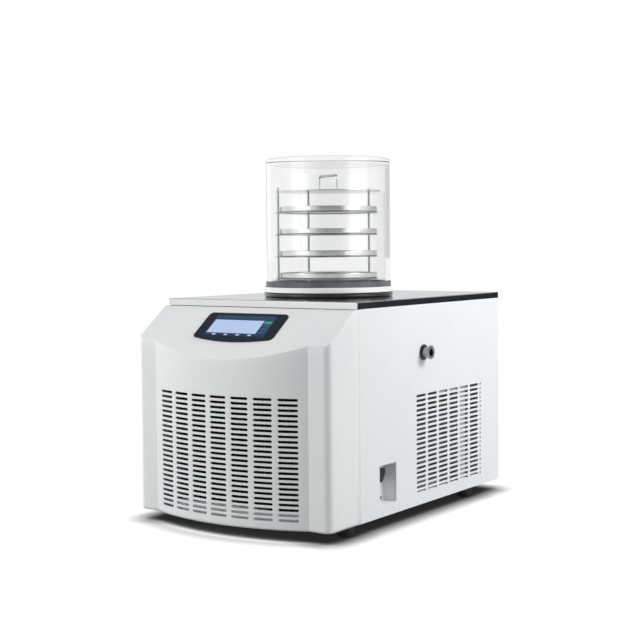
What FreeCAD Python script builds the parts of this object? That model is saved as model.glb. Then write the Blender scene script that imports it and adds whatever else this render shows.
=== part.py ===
"""Benchtop freeze dryer: a clear drying chamber with a tray rack over a cold trap, on a refrigerated cabinet.

Cabinet datum, used by every rule below: X = 0 is the middle of the cabinet, Y = 0 the front edge of the
top plate (the front is -Y) and Z = 0 the cabinet's underside. Each sub-part's Placement then carries it to
the part's own frame, whose origin is on the floor under the middle of the whole machine. Millimetres.
"""
import FreeCAD, Part
import math
import os
import re

import Sketcher
from FreeCAD import Placement, Rotation, Vector

# Driving dimensions: name, number, meaning. Every name is an alias of the sheet "Dimensions".
DIMENSIONS = (
    ("cabinet_width", 450, "across the side panels"),
    ("cabinet_height", 397, "underside to the lower edge of the top plate's skirt"),
    ("plate_depth", 570, "top plate, front to rear"),
    ("plate_skirt", 13, "height of the top plate's skirt"),
    ("plate_wall", 1.5, "top plate sheet"),
    ("plate_edge", 1.5, "rounding of the top plate's outer edges"),
    ("sheet_wall", 1.2, "steel sheet of the panels and brackets"),
    ("panel_lip", 12, "folded lip of a panel"),
    ("seam_gap", 0.6, "open seam between front panel and side panel"),
    ("front_reach", 93.7, "flat end strips of the front panel, ahead of the top plate"),
    ("front_return", 7, "side of the front panel, behind the top plate's front edge"),
    ("bow_rise", 38.5, "how far the front bulges ahead of its end strips"),
    ("strip_wide", 45, "flat end strip of the front panel, from the side"),
    ("panel_wall", 2.5, "moulded front panel"),
    ("corner_radius", 13, "upright corners of the front panel"),
    ("facet_slope", 36.2, "control facet above the horizontal, degrees"),
    ("facet_rise", 62, "control facet, its foot at the end strips to its top edge"),
    ("slot_tall", 5, "vent slot height"),
    ("slot_rows", 9.53, "vent slot row pitch"),
    ("front_slot", 36.5, "front vent slot length"),
    ("front_pitch", 47.2, "front vent column pitch"),
    ("front_shift", 3, "front vent centre, right of the middle"),
    ("front_low", 18, "lowest front slot row"),
    ("side_slot", 36.5, "side vent slot length"),
    ("side_pitch", 44.5, "side vent column pitch"),
    ("side_start", 214.5, "first side slot, behind the front edge"),
    ("side_low", 26, "lowest side slot row"),
    ("vent_end", 85, "end of the side vent's long slots, ahead of the rear"),
    ("pan_front", 78, "front flange of the base pan, ahead of the top plate"),
    ("pan_flange", 25, "height of the base pan's flange"),
    ("foot_height", 22, "foot below the cabinet"),
    ("foot_radius", 17, "foot at its top"),
    ("foot_taper", 2, "foot narrower at the floor"),
    ("foot_inset", 24, "foot from the side panel's face"),
    ("foot_front", -5, "front feet"),
    ("foot_back", 115, "rear feet, ahead of the top plate's rear edge"),
    ("shelf_wall", 2, "trap shelf sheet"),
    ("shelf_front", 10, "front edge of the trap shelf"),
    ("shelf_behind", 48, "trap shelf behind the insulation"),
    ("post_width", 22, "post leg along the side panel"),
    ("post_leg", 20, "post leg across the cabinet"),
    ("post_front", 12, "front posts"),
    ("post_inset", 8, "rear posts, ahead of the shelf's rear edge"),
    ("arm_long", 125, "length of the rear post's arm"),
    ("arm_inset", 1, "arm, ahead of the shelf's rear edge"),
    ("arm_drop", 22, "lower edge of the arm below the shelf"),
    ("arm_tall", 10, "height of the arm"),
    ("chamber_setback", 242, "chamber and cold trap axis, behind the front edge"),
    ("trap_radius", 100, "inside of the cold trap"),
    ("trap_wall", 1.5, "stainless sheet of the cold trap"),
    ("trap_depth", 158.5, "rim to floor inside the cold trap"),
    ("trap_gap", 1, "clearance round the cold trap and its coil"),
    ("spout_radius", 3, "drain spout bore in the trap floor"),
    ("spout_drop", 13, "drain spout below the trap floor"),
    ("coil_thick", 6, "flattened evaporator tube, radially"),
    ("coil_tall", 12, "flattened evaporator tube, upright"),
    ("coil_pitch", 24, "evaporator turn pitch"),
    ("coil_below", 36, "lower coil below the vacuum port's axis"),
    ("coil_above", 16, "upper coil above the vacuum port's axis"),
    ("coil_turn", -57, "evaporator header in plan, degrees on from -X"),
    ("header_half", 6, "evaporator header half width"),
    ("foam_wall", 40, "outside of the insulation from the trap's inside"),
    ("foam_floor", 15.5, "insulation under the trap"),
    ("fit_gap", 0.3, "named clearance between pieces that slip together"),
    ("seal_step", 4, "seal ring's bore outside the trap's inside"),
    ("seal_shy", 1, "seal ring inside the flange ring's edge"),
    ("seal_tall", 9.3, "black seal ring height"),
    ("seal_edge", 0.5, "radius of the seal ring's round outside past half its height"),
    ("ring_seat", 12, "flange ring under the rack's foot"),
    ("ring_land", 6.8, "flange ring beyond the chamber"),
    ("ring_edge", 0.8, "bevel of the flange ring's outer edges"),
    ("ring_tall", 10.7, "flange ring height"),
    ("gasket_floor", 4, "gasket under the chamber's foot"),
    ("gasket_tall", 11, "gasket height"),
    ("gasket_leg", 1.6, "gasket leg beside the chamber wall"),
    ("chamber_radius", 127.2, "outside of the clear chamber"),
    ("chamber_wall", 7, "chamber wall"),
    ("chamber_tall", 280, "top of the lid above the top plate"),
    ("lid_thick", 12, "chamber lid"),
    ("chamber_room", 8.2, "rack's foot inside the chamber wall"),
    ("rack_step", 3, "rack's plates inside its foot"),
    ("rod_edge", 2.7, "rod from the rim of the rack's plates"),
    ("rod_radius", 2.3, "rack rod"),
    ("rod_top", 222, "rod ends above the top plate"),
    ("rack_plate", 1.2, "rack base and top plate"),
    ("shelf_ring", 2, "tray shelf ring thickness"),
    ("shelf_seat", 10.6, "tray's seat on its shelf ring"),
    ("shelf_rim", 0.9, "shelf ring past the tray"),
    ("lug_radius", 6, "shelf ring's lug round each rod"),
    ("rack_top", 214, "underside of the rack's top plate above the top plate"),
    ("rod_slip", 0.1, "rod in its hole, radially"),
    ("tray_room", 1.1, "tray inside the rods"),
    ("tray_tall", 11, "tray height"),
    ("tray_wall", 1, "tray sheet"),
    ("tray_first", 37, "lowest tray above the top plate"),
    ("tray_pitch", 45, "tray spacing"),
    ("grip_long", 70, "handle between its legs"),
    ("grip_tall", 31, "handle wire axis above the rack's top plate"),
    ("grip_wire", 2.3, "handle wire radius"),
    ("grip_bend", 6, "handle bend radius"),
    ("grip_turn", -25, "handle in plan, degrees from +X"),
    ("port_drop", 108, "vacuum port axis below the top plate's face"),
    ("port_bore", 8, "vacuum bore radius"),
    ("port_radius", 10.5, "vacuum port neck"),
    ("port_lip", 13.7, "vacuum port flange radius"),
    ("port_lip_thick", 3.5, "vacuum port flange"),
    ("port_reach", 18, "vacuum port beyond the side panel"),
    ("port_inside", 7, "vacuum port behind the side panel"),
    ("washer_radius", 15.5, "black ring round the port"),
    ("washer_thick", 3, "black ring round the port"),
    ("pipe_radius", 9.5, "vacuum pipe outside"),
    ("pipe_wall", 1, "vacuum pipe wall"),
    ("pocket_front", 75.5, "drain pocket opening, front edge"),
    ("pocket_rear", 136, "drain pocket opening, rear edge"),
    ("pocket_low", 22, "drain pocket opening, lower edge"),
    ("pocket_high", 98, "drain pocket opening, upper edge"),
    ("pocket_deep", 28, "drain pocket behind the side panel's face"),
    ("knob_setback", 112, "drain valve spindle axis"),
    ("knob_height", 77, "drain valve spindle axis"),
    ("knob_thick", 7, "drain knob"),
    ("knob_gap", 1.5, "drain knob off the pocket's rear wall"),
    ("knob_half", 15, "half width of the knob's wing"),
    ("knob_tip", 6, "half width of the knob's tip"),
    ("knob_crown", 9, "knob's shoulder above the spindle"),
    ("knob_drop", 16.5, "knob's tip below the spindle"),
    ("spindle_radius", 3, "drain valve spindle"),
    ("running_gap", 0.05, "shaft in its bore, radially"),
    ("valve_half", 16, "drain valve body half size"),
    ("valve_deep", 24, "drain valve body along its spindle"),
    ("valve_stub", 10, "drain valve hose stub length"),
    ("outlet_setback", 124, "drain outlet hole"),
    ("outlet_height", 27.5, "drain outlet hole"),
    ("hose_radius", 4, "outlet hose outside"),
    ("hose_bore", 2.9, "outlet hose inside"),
    ("drain_radius", 6, "drain hose outside"),
    ("drain_run", 196, "height of the drain hose's level run"),
    ("hose_bend", 10, "hose bend radius"),
    ("core_half", 140, "condenser core half width"),
    ("shroud_half", 118, "fan shroud half width"),
    ("shroud_high", 210, "fan shroud top"),
    ("core_front", -70, "condenser core front face"),
    ("core_rear", -28, "condenser core rear face"),
    ("core_drop", 2, "condenser top below the trap shelf"),
    ("fin_pitch", 10, "condenser fin pitch"),
    ("fin_gap", 6, "condenser gap between fins"),
    ("fin_deep", 9, "condenser fin depth"),
    ("shroud_rear", -4, "fan shroud rear face"),
    ("fan_height", 113, "fan axis"),
    ("fan_opening", 95, "fan shroud opening radius"),
    ("blade_tip", 88, "fan blade tip radius"),
    ("hub_radius", 20, "fan hub radius"),
    ("hub_front", -14, "fan hub front face"),
    ("hub_long", 18, "fan hub length"),
    ("shaft_radius", 4, "fan shaft radius"),
    ("motor_radius", 38, "fan motor radius"),
    ("motor_front", 22, "fan motor front face"),
    ("motor_long", 42, "fan motor length"),
    ("boss_radius", 12, "fan motor bearing boss"),
    ("boss_long", 8, "fan motor bearing boss"),
    ("blade_wall", 2, "fan blade"),
    ("root_half", 11, "fan blade root half chord"),
    ("tip_half", 24, "fan blade tip half chord"),
    ("blade_pitch", 24, "fan blade pitch, degrees"),
    ("bracket_half", 32, "fan bracket half width"),
    ("bracket_wall", 2, "fan bracket"),
    ("bracket_foot", 34, "fan bracket foot"),
    ("shell_radius", 72, "compressor shell"),
    ("shell_side", -70, "compressor axis from the middle"),
    ("shell_behind", 88, "compressor axis behind the chamber's"),
    ("shell_low", 12, "compressor shell bottom"),
    ("shell_high", 196, "compressor shell top"),
    ("shell_round", 26, "rounding of the compressor shell"),
    ("plate_thick", 3, "compressor mounting plate"),
    ("plate_side", 85, "compressor plate half width"),
    ("plate_end", 70, "compressor plate half depth"),
    ("grommet_radius", 9, "compressor grommet"),
    ("grommet_inset", 12, "compressor grommet from the plate's edges"),
    ("line_radius", 4, "refrigerant line"),
    ("line_bend", 12, "refrigerant line bend radius"),
    ("line_high", 218, "level run of the discharge line"),
    ("line_low", 30, "level run of the liquid line"),
    ("discharge_side", -95, "discharge line from the middle"),
    ("drier_radius", 11, "filter drier"),
    ("drier_low", 62, "filter drier lower end"),
    ("drier_high", 160, "filter drier upper end"),
    ("drier_side", 129, "filter drier from the middle"),
    ("drier_back", 262, "filter drier behind the front edge"),
    ("capillary_radius", 1.5, "capillary line"),
    ("glass_half", 93.5, "touch glass half width"),
    ("glass_low", 12, "touch glass lower corners up the facet"),
    ("glass_high", 84, "touch glass upper edge up the facet"),
    ("glass_bulge", 403, "radius of the touch glass's bowed lower edge"),
    ("glass_thick", 2, "touch glass"),
    ("glass_corner", 9, "touch glass corner radius"),
    ("display_half", 72, "display window half width"),
    ("display_low", 17, "display window lower edge up the facet"),
    ("display_high", 78, "display window upper edge up the facet"),
    ("display_edge", 4, "display module past its window"),
    ("display_deep", 26, "display module behind the glass"),
    ("box_room", 10, "control box ahead of the insulation"),
    ("box_inset", 25, "control box from the left side panel's face"),
    ("box_right", -30, "control box right side"),
    ("box_deep", 78, "control box depth"),
    ("box_tall", 124, "control box height"),
    ("rear_reach", 2.5, "rear fittings behind the rear panel"),
    ("inlet_side", -150, "power inlet from the middle"),
    ("inlet_height", 80, "power inlet axis"),
    ("inlet_half", 24, "power inlet face half width"),
    ("inlet_tall", 15, "power inlet face half height"),
    ("inlet_deep", 25, "power inlet body"),
    ("socket_half", 12, "power inlet recess half width"),
    ("socket_tall", 8, "power inlet recess half height"),
    ("socket_deep", 17, "power inlet recess"),
    ("blade_half", 1, "power inlet contact half width"),
    ("contact_pitch", 7, "power inlet contact pitch"),
    ("face_rim", 3, "face of a rear fitting past its cut-out"),
    ("switch_side", -80, "power switch from the middle"),
    ("switch_half", 13, "power switch frame half width"),
    ("switch_tall", 16, "power switch frame half height"),
    ("switch_wall", 2, "power switch frame side wall"),
    ("rocker_setback", 1.5, "rocker pivot ahead of the rear panel's face"),
    ("rocker_tall", 10.3, "rocker half height"),
    ("rocker_tilt", 7, "rocker either side of level, degrees"),
    ("pivot_radius", 1.5, "rocker pivot"),
)

FRONT_COLUMNS = 7
FRONT_ROWS = 24
SIDE_ROWS = 21
TRAYS = 4
FAN_BLADES = 5
FIN_GAPS = 27
LOWER_TURNS = 1
UPPER_TURNS = 3
ROD_ANGLES = (67, 148, 227)

# Sizes that follow from the driving ones. A rule may use other rules.
RULES = {
    "half_width": "cabinet_width / 2",
    "frame_x": "-port_reach / 2",
    "frame_y": "(front_reach + bow_rise - plate_depth - rear_reach) / 2",
    "plate_top": "cabinet_height + plate_skirt",
    "inner_face": "half_width - sheet_wall",
    "bow_half": "half_width - strip_wide",
    "crease_height": "cabinet_height - facet_rise",
    "foot_side": "half_width - foot_inset",
    "foot_rear": "plate_depth - foot_back",
    "pan_half": "half_width - panel_wall",
    "post_face": "pan_half - sheet_wall",
    "pan_rear": "plate_depth - sheet_wall",
    "bow_radius": "(bow_half^2 + bow_rise^2) / (2 * bow_rise)",
    "facet_rear": "(cabinet_height - crease_height) / tan(facet_slope) - front_reach",
    "foam_radius": "trap_radius + foam_wall",
    "shelf_height": "rim_top - trap_depth - trap_wall - foam_floor - shelf_wall",
    "shelf_top": "shelf_height + shelf_wall",
    "shelf_rear": "chamber_setback + foam_radius + shelf_behind",
    "post_rear": "shelf_rear - post_inset - post_width",
    "arm_rear": "shelf_rear - arm_inset",
    "arm_front": "arm_rear - arm_long",
    "arm_low": "shelf_height - arm_drop",
    "trap_floor": "shelf_top + foam_floor",
    "trap_outer": "trap_radius + trap_wall",
    "rim_top": "plate_top + trap_wall",
    "port_height": "plate_top - port_drop",
    "coil_low": "port_height - coil_below",
    "coil_high": "port_height + coil_above",
    "coil_inner": "trap_outer + fit_gap",
    "coil_outer": "coil_inner + coil_thick",
    "ring_outer": "chamber_radius + ring_land",
    "ring_inner": "rack_foot - ring_seat",
    "seal_inner": "trap_radius + seal_step",
    "seal_outer": "ring_outer - seal_shy",
    "seal_round": "seal_tall / 2 + seal_edge",
    "seal_bulge": "seal_round - sqrt(seal_round^2 - seal_tall^2 / 4)",
    "trap_rim": "(seal_inner + seal_outer) / 2",
    "seal_top": "plate_top + seal_tall",
    "ring_top": "seal_top + ring_tall",
    "chamber_foot": "ring_top + gasket_floor",
    "chamber_bore": "chamber_radius - chamber_wall",
    "chamber_lip": "plate_top + chamber_tall - lid_thick",
    "rack_foot": "chamber_bore - chamber_room",
    "rack_outer": "rack_foot - rack_step",
    "rack_circle": "rack_outer - rod_radius - rod_edge",
    "tray_radius": "rack_circle - rod_radius - tray_room",
    "rack_inner": "tray_radius - shelf_seat",
    "port_end": "half_width + port_reach",
    "port_root": "inner_face - port_inside",
    "pocket_back": "half_width - pocket_deep",
    "knob_back": "pocket_back + knob_gap",
    "valve_front": "pocket_back - sheet_wall",
    "valve_axis": "valve_front - valve_deep / 2",
    "shaft_rear": "motor_front + motor_long - 24",
    "core_high": "shelf_height - core_drop",
    "shell_back": "chamber_setback + shell_behind",
    "box_front": "chamber_setback - foam_radius - box_room - box_deep",
    "box_left": "box_inset - half_width",
    "plate_low": "shell_low - plate_thick",
    "spout_outer": "spout_radius + trap_wall",
    "suction_ring": "coil_inner + line_radius",
    "suction_side": "-suction_ring * cos(coil_turn)",
    "suction_back": "chamber_setback - suction_ring * sin(coil_turn)",
    "gasket_outer": "chamber_radius + rod_slip + gasket_leg",
    "gasket_inner": "chamber_bore - rod_slip - gasket_leg",
    "shaft_front": "hub_front",
    "fitting_end": "plate_depth + rear_reach",
    "switch_inner": "switch_half - face_rim - fit_gap - switch_wall",
    "switch_inner_tall": "switch_tall - face_rim - fit_gap - switch_wall",
}

doc = FreeCAD.newDocument("freeze_dryer")
sheet = doc.addObject("Spreadsheet::Sheet", "Dimensions")
for row, (alias, number, meaning) in enumerate(DIMENSIONS, 1):
    sheet.set("A%d" % row, meaning)
    sheet.set("B%d" % row, str(number))
    sheet.setAlias("B%d" % row, alias)
doc.recompute()

SUB_PARTS = []


def bind(rule):
    """A rule as a FreeCAD expression: derived names spelled out, driving names read from the sheet."""
    def name(found):
        word = found.group(0)
        return "(%s)" % bind(RULES[word]) if word in RULES else "Dimensions." + word
    return re.sub(r"[a-z]+_\w+", name, str(rule))


def value(rule):
    """The number that a rule has now."""
    return float(sheet.evalExpression(bind(rule)))


def place(item, at=("0", "0", "0"), turn=None):
    """Carry a sub-part from the cabinet datum to the part's own frame, after a turn about its own Z."""
    if turn is not None:
        item.Placement = Placement(Vector(), Rotation(Vector(0, 0, 1), value(turn)))
        item.setExpression("Placement.Rotation.Angle", bind(turn))
    shift = ("frame_x", "frame_y", "foot_height")
    for letter, own, frame in zip("xyz", at, shift):
        item.setExpression("Placement.Base." + letter, bind("%s + %s" % (own, frame)))


def sub_part(item, label, at=("0", "0", "0"), turn=None):
    item.Label = label
    place(item, at, turn)
    SUB_PARTS.append(item)
    return item


def new_body(label, at=("0", "0", "0"), turn=None):
    return sub_part(doc.addObject("PartDesign::Body", label), label, at, turn)


def origin_item(body, role):
    return next(item for item in body.Origin.OriginFeatures if item.Role == role)


def new_sketch(body, role, offset="0"):
    """A sketch on one of the body's own origin planes, lifted along the plane's normal."""
    sketch = body.newObject("Sketcher::SketchObject", body.Name + "_sketch")
    sketch.AttachmentSupport = (origin_item(body, role), [""])
    sketch.MapMode = "FlatFace"
    sketch.setExpression("AttachmentOffset.Base.z", bind(offset))
    return sketch


def pin(sketch, kind, geometry, point, rule):
    """Hold a point of the sketch at a rule's distance from the sketch's origin."""
    index = sketch.addConstraint(Sketcher.Constraint(kind, -1, 1, geometry, point, value(rule)))
    sketch.setExpression("Constraints[%d]" % index, bind(rule))


def near_end(sketch, geometry, point):
    """Which end, 1 or 2, of a line or arc lies at a point."""
    shape = sketch.Geometry[geometry]
    return 1 if (shape.StartPoint - point).Length < (shape.EndPoint - point).Length else 2


def draw_outline(sketch, corners, arcs=None):
    """A closed outline through corners, each a pair of rules. arcs: side number to the radius rule of an
    arc that bulges to the right of the way round."""
    arcs = arcs or {}
    points = [Vector(value(x), value(y), 0) for x, y in corners]
    count = len(points)
    for side, start in enumerate(points):
        end = points[(side + 1) % count]
        if side not in arcs:
            sketch.addGeometry(Part.LineSegment(start, end))
            continue
        chord = end - start
        radius = value(arcs[side])
        rise = radius - math.sqrt(radius ** 2 - (chord.Length / 2) ** 2)
        outward = Vector(chord.y, -chord.x, 0).normalize()
        sketch.addGeometry(Part.Arc(start, (start + end) * 0.5 + outward * rise, end))
    for side, end in enumerate(points[1:] + points[:1]):
        follower = (side + 1) % count
        ends = near_end(sketch, side, end), near_end(sketch, follower, end)
        sketch.addConstraint(Sketcher.Constraint("Coincident", side, ends[0], follower, ends[1]))
    for side, (x, y) in enumerate(corners):
        start = near_end(sketch, side, points[side])
        pin(sketch, "DistanceX", side, start, x)
        pin(sketch, "DistanceY", side, start, y)
    for side, radius in arcs.items():
        index = sketch.addConstraint(Sketcher.Constraint("Radius", side, value(radius)))
        sketch.setExpression("Constraints[%d]" % index, bind(radius))
    return sketch


def draw_circle(sketch, across, up, radius):
    centre = Vector(value(across), value(up), 0)
    geometry = sketch.addGeometry(Part.Circle(centre, Vector(0, 0, 1), value(radius)))
    pin(sketch, "DistanceX", geometry, 3, across)
    pin(sketch, "DistanceY", geometry, 3, up)
    index = sketch.addConstraint(Sketcher.Constraint("Radius", geometry, value(radius)))
    sketch.setExpression("Constraints[%d]" % index, bind(radius))
    return sketch


def rectangle(across, up):
    return [(across[0], up[0]), (across[1], up[0]), (across[1], up[1]), (across[0], up[1])]


# A pad runs along its plane's normal and a pocket against it. The XZ plane's normal is -Y.
def pad(body, role, draw, low, high):
    """Add a prism between two stations along X, Y or Z, drawn on the YZ, XZ or XY plane."""
    offset = "-(%s)" % high if role == "XZ_Plane" else low
    feature = body.newObject("PartDesign::Pad", body.Name + "_pad")
    feature.Profile = draw(new_sketch(body, role, offset))
    feature.setExpression("Length", bind("(%s) - (%s)" % (high, low)))
    return feature


def pocket(body, role, draw, low, high):
    """Cut a prism between two stations along X, Y or Z."""
    offset = "-(%s)" % low if role == "XZ_Plane" else high
    feature = body.newObject("PartDesign::Pocket", body.Name + "_pocket")
    feature.Profile = draw(new_sketch(body, role, offset))
    feature.setExpression("Length", bind("(%s) - (%s)" % (high, low)))
    return feature


def block(body, x, y, z):
    return pad(body, "XY_Plane", lambda sketch: draw_outline(sketch, rectangle(x, y)), *z)


def hollow(body, x, y, z):
    return pocket(body, "XY_Plane", lambda sketch: draw_outline(sketch, rectangle(x, y)), *z)


def round_hole(body, role, centre, radius, low, high):
    return pocket(body, role, lambda sketch: draw_circle(sketch, *centre, radius), low, high)


AXES = {"x": ("XY_Plane", "H_Axis"), "y": ("XY_Plane", "V_Axis"), "z": ("XZ_Plane", "V_Axis")}


def turned(label, axis, profile, at=("0", "0", "0"), arcs=None):
    """A turned piece. profile: radius and station rules, or station and radius about X."""
    body = new_body(label, at)
    role, line = AXES[axis]
    feature = body.newObject("PartDesign::Revolution", label + "_revolution")
    sketch = draw_outline(new_sketch(body, role), profile, arcs)
    feature.Profile = sketch
    feature.ReferenceAxis = (sketch, [line])
    feature.Angle = 360
    return body


def ring(inner, outer, low, high):
    return [(inner, low), (outer, low), (outer, high), (inner, high)]


def repeat(body, feature, runs):
    """Repeat a feature in a grid. runs: axis role, pitch rule and count for each direction."""
    grid = body.newObject("PartDesign::MultiTransform", body.Name + "_grid")
    grid.Originals = [feature]
    patterns = []
    for role, pitch, count in runs:
        pattern = body.newObject("PartDesign::LinearPattern", body.Name + "_run")
        pattern.Direction = (origin_item(body, role), [""])
        pattern.setExpression("Length", bind("(%s) * %d" % (pitch, count - 1)))
        pattern.Occurrences = count
        patterns.append(pattern)
    grid.Transformations = patterns
    body.Tip = grid
    return grid


def edges_where(feature, wanted):
    """Names of the straight edges whose ends pass a test."""
    names = []
    for index, edge in enumerate(feature.Shape.Edges, 1):
        ends = [vertex.Point for vertex in edge.Vertexes]
        if len(ends) == 2 and wanted(*ends):
            names.append("Edge%d" % index)
    return names


def round_edges(body, feature, radius, wanted):
    doc.recompute()
    fillet = body.newObject("PartDesign::Fillet", body.Name + "_fillet")
    fillet.Base = (feature, edges_where(feature, wanted))
    fillet.setExpression("Radius", bind(radius))
    return fillet


def upright(start, end):
    """Whether an edge is vertical."""
    return abs(start.x - end.x) < 0.01 and abs(start.y - end.y) < 0.01 and abs(start.z - end.z) > 1


def cylinder(radius, length, at, along=(0, 0, 1)):
    """A Part::Cylinder for a compound, along +Z or another axis."""
    item = doc.addObject("Part::Cylinder", "cylinder")
    item.setExpression("Radius", bind(radius))
    item.setExpression("Height", bind(length))
    item.Placement = Placement(Vector(), Rotation(Vector(0, 0, 1), Vector(*along)))
    for letter, rule in zip("xyz", at):
        item.setExpression("Placement.Base." + letter, bind(rule))
    return item


def group(label, items, at=("0", "0", "0")):
    """Identical separate pieces in one sub-part."""
    compound = doc.addObject("Part::Compound", label)
    compound.Links = items
    return sub_part(compound, label, at)


def straight_run(start, end, radius):
    return Part.makeCylinder(radius, (end - start).Length, start, end - start)


def bend_run(start, arriving, leaving, bend, radius):
    """A quarter-like piece of a torus from start, turning one direction into the other."""
    turn = math.degrees(arriving.getAngle(leaving))
    hinge = arriving.cross(leaving).normalize()
    centre = start + hinge.cross(arriving).normalize() * bend
    disc = Part.Face(Part.Wire(Part.makeCircle(radius, start, arriving)))
    return disc.revolve(centre, hinge, turn)


def rod_along(points, bend, radius):
    """A round rod along straight runs joined by tangent bends of one radius."""
    pieces = []
    last = points[0]
    for before, corner, after in zip(points, points[1:], points[2:]):
        arriving = (corner - before).normalize()
        leaving = (after - corner).normalize()
        back = bend * math.tan(arriving.getAngle(leaving) / 2)
        start = corner - arriving * back
        pieces.append(straight_run(last, start, radius))
        pieces.append(bend_run(start, arriving, leaving, bend, radius))
        last = corner + leaving * back
    pieces.append(straight_run(last, points[-1], radius))
    return pieces[0].fuse(pieces[1:])


def tube(label, route, radius, bend, bore=None):
    """A bent tube or rod along a route of points, each three rules."""
    points = [Vector(*(value(rule) for rule in point)) for point in route]
    shape = rod_along(points, value(bend), value(radius))
    if bore is not None:
        shape = shape.cut(rod_along(points, value(bend), value(bore)))
    item = doc.addObject("Part::Feature", label)
    item.Shape = shape
    return sub_part(item, label)


# ---------------------------------------------------------------- cabinet
def base_pan():
    """The folded floor tray that carries everything."""
    body = new_body("base_pan")
    block(body, ("-pan_half", "pan_half"), ("-pan_front", "pan_rear"), ("0", "pan_flange"))
    inside = ("-post_face", "post_face")
    hollow(body, inside, ("sheet_wall - pan_front", "pan_rear - sheet_wall"), ("sheet_wall", "pan_flange"))
    hollow(body, ("post_face - sheet_wall", "pan_half"), ("pocket_front - 3", "pocket_rear + 3"),
           ("pocket_low - 3", "pan_flange"))


def front_panel():
    """The moulded front: flat end strips, a bowed middle with the vent, a sloped facet for the screen."""
    body = new_body("front_panel")
    plan = [("-half_width", "front_return"), ("-half_width", "-front_reach"), ("-bow_half", "-front_reach"),
            ("bow_half", "-front_reach"), ("half_width", "-front_reach"), ("half_width", "front_return")]
    bow = {2: "bow_radius"}
    solid = pad(body, "XY_Plane", lambda sketch: draw_outline(sketch, plan, bow), "0", "cabinet_height")
    ahead = "-front_reach - 2 * bow_rise"
    over = "cabinet_height + plate_skirt"
    wedge = [(ahead, "crease_height - 2 * bow_rise * tan(facet_slope)"), ("facet_rear", "cabinet_height"),
             ("facet_rear", over), (ahead, over)]
    facet = pocket(body, "YZ_Plane", lambda sketch: draw_outline(sketch, wedge), "-half_width", "half_width")

    def strip_corner(start, end):
        on_side = abs(abs(start.x) - value("half_width")) < 0.01
        return upright(start, end) and on_side and abs(start.y + value("front_reach")) < 0.01
    rounded = round_edges(body, facet, "corner_radius", strip_corner)
    doc.recompute()
    open_faces = []
    for index, face in enumerate(rounded.Shape.Faces, 1):
        centre = face.CenterOfMass
        if abs(centre.z) < 0.01 or abs(centre.y - value("front_return")) < 0.01:
            open_faces.append("Face%d" % index)
    shell = body.newObject("PartDesign::Thickness", "front_shell")
    shell.Base = (rounded, open_faces)
    shell.setExpression("Value", bind("panel_wall"))
    shell.Reversed = True

    half_span = "front_pitch * %s" % ((FRONT_COLUMNS - 1) / 2)
    first = "front_shift - %s - front_slot / 2" % half_span
    slot = rectangle((first, "%s + front_slot" % first), ("front_low - slot_tall / 2", "front_low + slot_tall / 2"))
    cut = pocket(body, "XZ_Plane", lambda sketch: draw_outline(sketch, slot),
                 "-front_reach - bow_rise - panel_wall", "panel_wall + seam_gap - front_reach")
    repeat(body, cut, (("X_Axis", "front_pitch", FRONT_COLUMNS), ("Z_Axis", "slot_rows", FRONT_ROWS)))

    window = body.newObject("PartDesign::Pocket", "screen_window")
    window.Profile = draw_outline(facet_sketch(body, "panel_wall"),
                                  rectangle(("-display_half", "display_half"), ("display_low", "display_high")))
    window.setExpression("Length", bind("3 * panel_wall"))


def facet_sketch(body, lift):
    """A sketch on the facet: across is X, up runs up the slope from the foot of the facet's end strips."""
    sketch = new_sketch(body, "XY_Plane")
    sketch.AttachmentOffset = Placement(Vector(), Rotation(Vector(1, 0, 0), value("facet_slope")))
    sketch.setExpression("AttachmentOffset.Rotation.Angle", bind("facet_slope"))
    sketch.setExpression("AttachmentOffset.Base.y", bind("-front_reach - (%s) * sin(facet_slope)" % lift))
    sketch.setExpression("AttachmentOffset.Base.z", bind("crease_height + (%s) * cos(facet_slope)" % lift))
    return sketch


def side_columns():
    """Vent columns that fit between the first one and the rear posts' end of the panel."""
    return int((value("plate_depth") - value("vent_end") - value("side_start")) / value("side_pitch"))


def side_panel(label, side, holes):
    """A side sheet with a folded front lip and its vent. side: 1 right, -1 left."""
    body = new_body(label)
    front = "front_return + seam_gap"
    outer = "%d * half_width" % side
    inner = "%d * inner_face" % side
    lip = "%d * (half_width - panel_lip)" % side
    plan = [(outer, front), (outer, "plate_depth"), (inner, "plate_depth"), (inner, "%s + sheet_wall" % front),
            (lip, "%s + sheet_wall" % front), (lip, front)]
    pad(body, "XY_Plane", lambda sketch: draw_outline(sketch, plan), "0", "cabinet_height")
    notch = ("half_width - panel_lip", "inner_face") if side > 0 else ("-inner_face", "panel_lip - half_width")
    hollow(body, notch, (front, "%s + sheet_wall" % front), ("0", "pan_flange + fit_gap"))
    through = ("inner_face - seam_gap", "half_width + seam_gap")
    if side < 0:
        through = ("-half_width - seam_gap", "seam_gap - inner_face")
    rows = ("side_low - slot_tall / 2", "side_low + slot_tall / 2")
    slot = rectangle(("side_start", "side_start + side_slot"), rows)
    cut = pocket(body, "YZ_Plane", lambda sketch: draw_outline(sketch, slot), *through)
    repeat(body, cut, (("Y_Axis", "side_pitch", side_columns()), ("Z_Axis", "slot_rows", SIDE_ROWS)))
    holes(body, through, rows)


def right_holes(body, through, rows):
    """The column of short holes behind the vent, the port hole and the drain pocket's opening."""
    start = "side_start + side_pitch * %d" % side_columns()
    short = rectangle((start, "%s + slot_tall" % start), rows)
    cut = pocket(body, "YZ_Plane", lambda sketch: draw_outline(sketch, short), *through)
    repeat(body, cut, (("Z_Axis", "slot_rows", SIDE_ROWS),))
    round_hole(body, "YZ_Plane", ("chamber_setback", "port_height"), "port_radius + fit_gap", *through)
    opening = rectangle(("pocket_front", "pocket_rear"), ("pocket_low", "pocket_high"))
    pocket(body, "YZ_Plane", lambda sketch: draw_outline(sketch, opening), *through)


def no_holes(body, through, rows):
    """The left side has its vent only."""


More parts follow.
